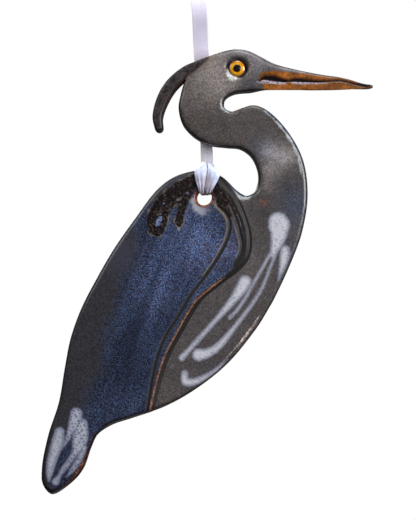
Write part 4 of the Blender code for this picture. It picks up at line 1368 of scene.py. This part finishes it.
def make_knot():
    """An overhand knot in both strands: three pleated turns drawn tight over one another."""
    columns, rows = 120, 80
    middle, half_size = np.array([HOOK_U, 0.0, KNOT_V]), np.array(KNOT_SIZE) / 2
    spots = [(0.0, -math.pi / 2)]
    for tilt in np.linspace(-math.pi / 2, math.pi / 2, rows + 1)[1:-1]:
        spots += [(2 * math.pi * column / columns, tilt) for column in range(columns)]
    spots.append((0.0, math.pi / 2))
    places, across = [], []
    for turn, tilt in spots:
        facing = np.array([math.cos(tilt) * math.cos(turn), math.cos(tilt) * math.sin(turn), math.sin(tilt)])
        reach, share = max(wrap(facing, *one) for one in KNOT_TURNS)
        u, y, v = middle + facing * half_size * reach
        places.append((u, v, y))
        across.append(share)
    fields = {"along": [2 * turn for turn, _ in spots], "across": across}
    return add_mesh("knot", places, between_poles(rows - 1, columns, inside_out=True), fields)


def wrap(facing, axis, height, half_width):
    """How far one turn of the knot reaches in a direction, and where across the turn that is."""
    share = float(np.dot(facing, axis) / np.linalg.norm(axis)) / half_width
    if abs(share) >= 1:
        return KNOT_CORE, 0.0
    bulge = KNOT_CORE + (height - KNOT_CORE) * (1 - share**4) ** 0.5
    return bulge + 0.018 * math.cos(5 * math.pi * share), share


def make_ends():
    """The two cut ends above the knot, trimmed on the slant."""
    base_v = KNOT_V + KNOT_SIZE[2] / 2 + GAP
    half, middle_v = RIBBON_WIDTH / 2, base_v + END_LENGTH / 2
    ends = []
    for name, side in (("end_left", -1), ("end_right", 1)):
        slant = side * half
        stations = [
            (HOOK_U + side * 0.2, side * 0.2, base_v - 1.2, 0.35 * half, 0.0, 0.12, 0.0),
            (HOOK_U + side * 0.5, side * 0.45, base_v + 0.3, 0.55 * half, 0.0, 0.12, 0.0),
            (HOOK_U + side * 1.1, side * 0.8, middle_v, 0.9 * half, -0.15 * slant, 0.05, 0.15),
            (HOOK_U + side * 2.0, side * 1.2, base_v + END_LENGTH, half, 0.35 * slant, 0.0, 0.2),
        ]
        end = ribbon(name, stations)
        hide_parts(f"ribbon_{name}")
        ends.append(end)
    return ends


# The studio

# Lamps: (name, place from the heron's middle and size, both in metres, power)
LAMPS = [
    ("key", (0.36, -0.26, 0.08), 0.2, 2.7),
    ("top", (0.06, -0.14, 0.44), 0.26, 1.5),
    ("upper_left", (-0.32, -0.2, 0.24), 0.24, 0.95),
    ("fill_below", (0.16, -0.26, -0.34), 0.24, 0.03),
    ("behind", (-0.1, 0.4, 0.25), 0.3, 1.3),
]
LAMP_AIM = (0.0, -15.0, 0.0)  # the heron's middle
CAMERA_PLACE = (0.7, -12.5, -HALF - 260.0)
FLOOR_V = -200.0
FLOOR_RADIUS = 60.0
FLOOR_SIDES = 96


def make_camera():
    data = bpy.data.cameras.new("camera")
    data.lens = 90.0
    data.sensor_width = 36.0
    data.clip_start = 0.01
    camera = add_to_scene("camera", data)
    camera.location = in_row([CAMERA_PLACE])[0]
    camera.rotation_euler = (math.radians(90), 0, 0)
    bpy.context.scene.camera = camera


def make_lamp(name, place, size, power):
    """A square soft light aimed at the middle of the heron."""
    data = bpy.data.lights.new(name, "AREA")
    data.size = size
    data.energy = power
    lamp = add_to_scene(name, data)
    middle = Vector(in_row([LAMP_AIM])[0])
    lamp.location = middle + Vector(place)
    lamp.rotation_euler = (middle - lamp.location).to_track_quat("-Z", "Y").to_euler()


def make_world():
    """A soft pale light from all round, with a white background behind it."""
    scene = bpy.context.scene
    scene.view_settings.view_transform = "Standard"
    scene.world = bpy.data.worlds.new("studio")
    scene.world.use_nodes = True
    tree = scene.world.node_tree
    tree.nodes.clear()
    seen, light = (tree.nodes.new("ShaderNodeBackground") for _ in range(2))
    seen.inputs["Color"].default_value = (1, 1, 1, 1)
    light.inputs["Color"].default_value = (0.93, 0.96, 1.0, 1)
    light.inputs["Strength"].default_value = 0.1
    path = tree.nodes.new("ShaderNodeLightPath")
    mix = tree.nodes.new("ShaderNodeMixShader")
    out = tree.nodes.new("ShaderNodeOutputWorld")
    tree.links.new(path.outputs["Is Camera Ray"], mix.inputs[0])
    tree.links.new(light.outputs[0], mix.inputs[1])
    tree.links.new(seen.outputs[0], mix.inputs[2])
    tree.links.new(mix.outputs[0], out.inputs[0])


def make_floor():
    """A pale disc under the heron, below the picture."""
    turns = np.linspace(0, 2 * math.pi, FLOOR_SIDES, endpoint=False)
    places = [(FLOOR_RADIUS * math.cos(a), FLOOR_V, FLOOR_RADIUS * math.sin(a)) for a in turns]
    floor = add_mesh("floor", places, [tuple(range(len(turns)))])
    p = Paint("pale_floor")
    colour = p.mix(p.noise(20.0), (236, 236, 234), (246, 246, 245))
    floor.data.materials.append(p.finished(colour, Roughness=0.8))


def finish_piece(piece, material):
    piece.data.materials.append(material)
    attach(piece, "root")


def main():
    make_camera()
    cloth = satin()
    hitch = make_hitch()
    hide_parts("ribbon_hitch")
    knot = make_knot()
    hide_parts("ribbon_knot")
    pieces = [hitch, knot, *make_ends()]
    for piece in (*pieces, *make_strands()):
        finish_piece(piece, cloth)

    heron = heron_mesh()
    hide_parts("heron_slab", "wing", "crest", "bill")
    finish_piece(heron, stoneware_glaze())
    iris = dome("iris", 1.57, 0.4, -HALF, -HALF + 0.3)
    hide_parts("eye_iris")
    finish_piece(iris, iris_glaze())
    pupil = dome("pupil", 0.78, 0.2, -HALF - 0.38, -HALF + 0.1)
    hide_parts("eye_pupil")
    finish_piece(pupil, pupil_glaze())
    make_world()
    for one in LAMPS:
        make_lamp(*one)
    make_floor()


main()
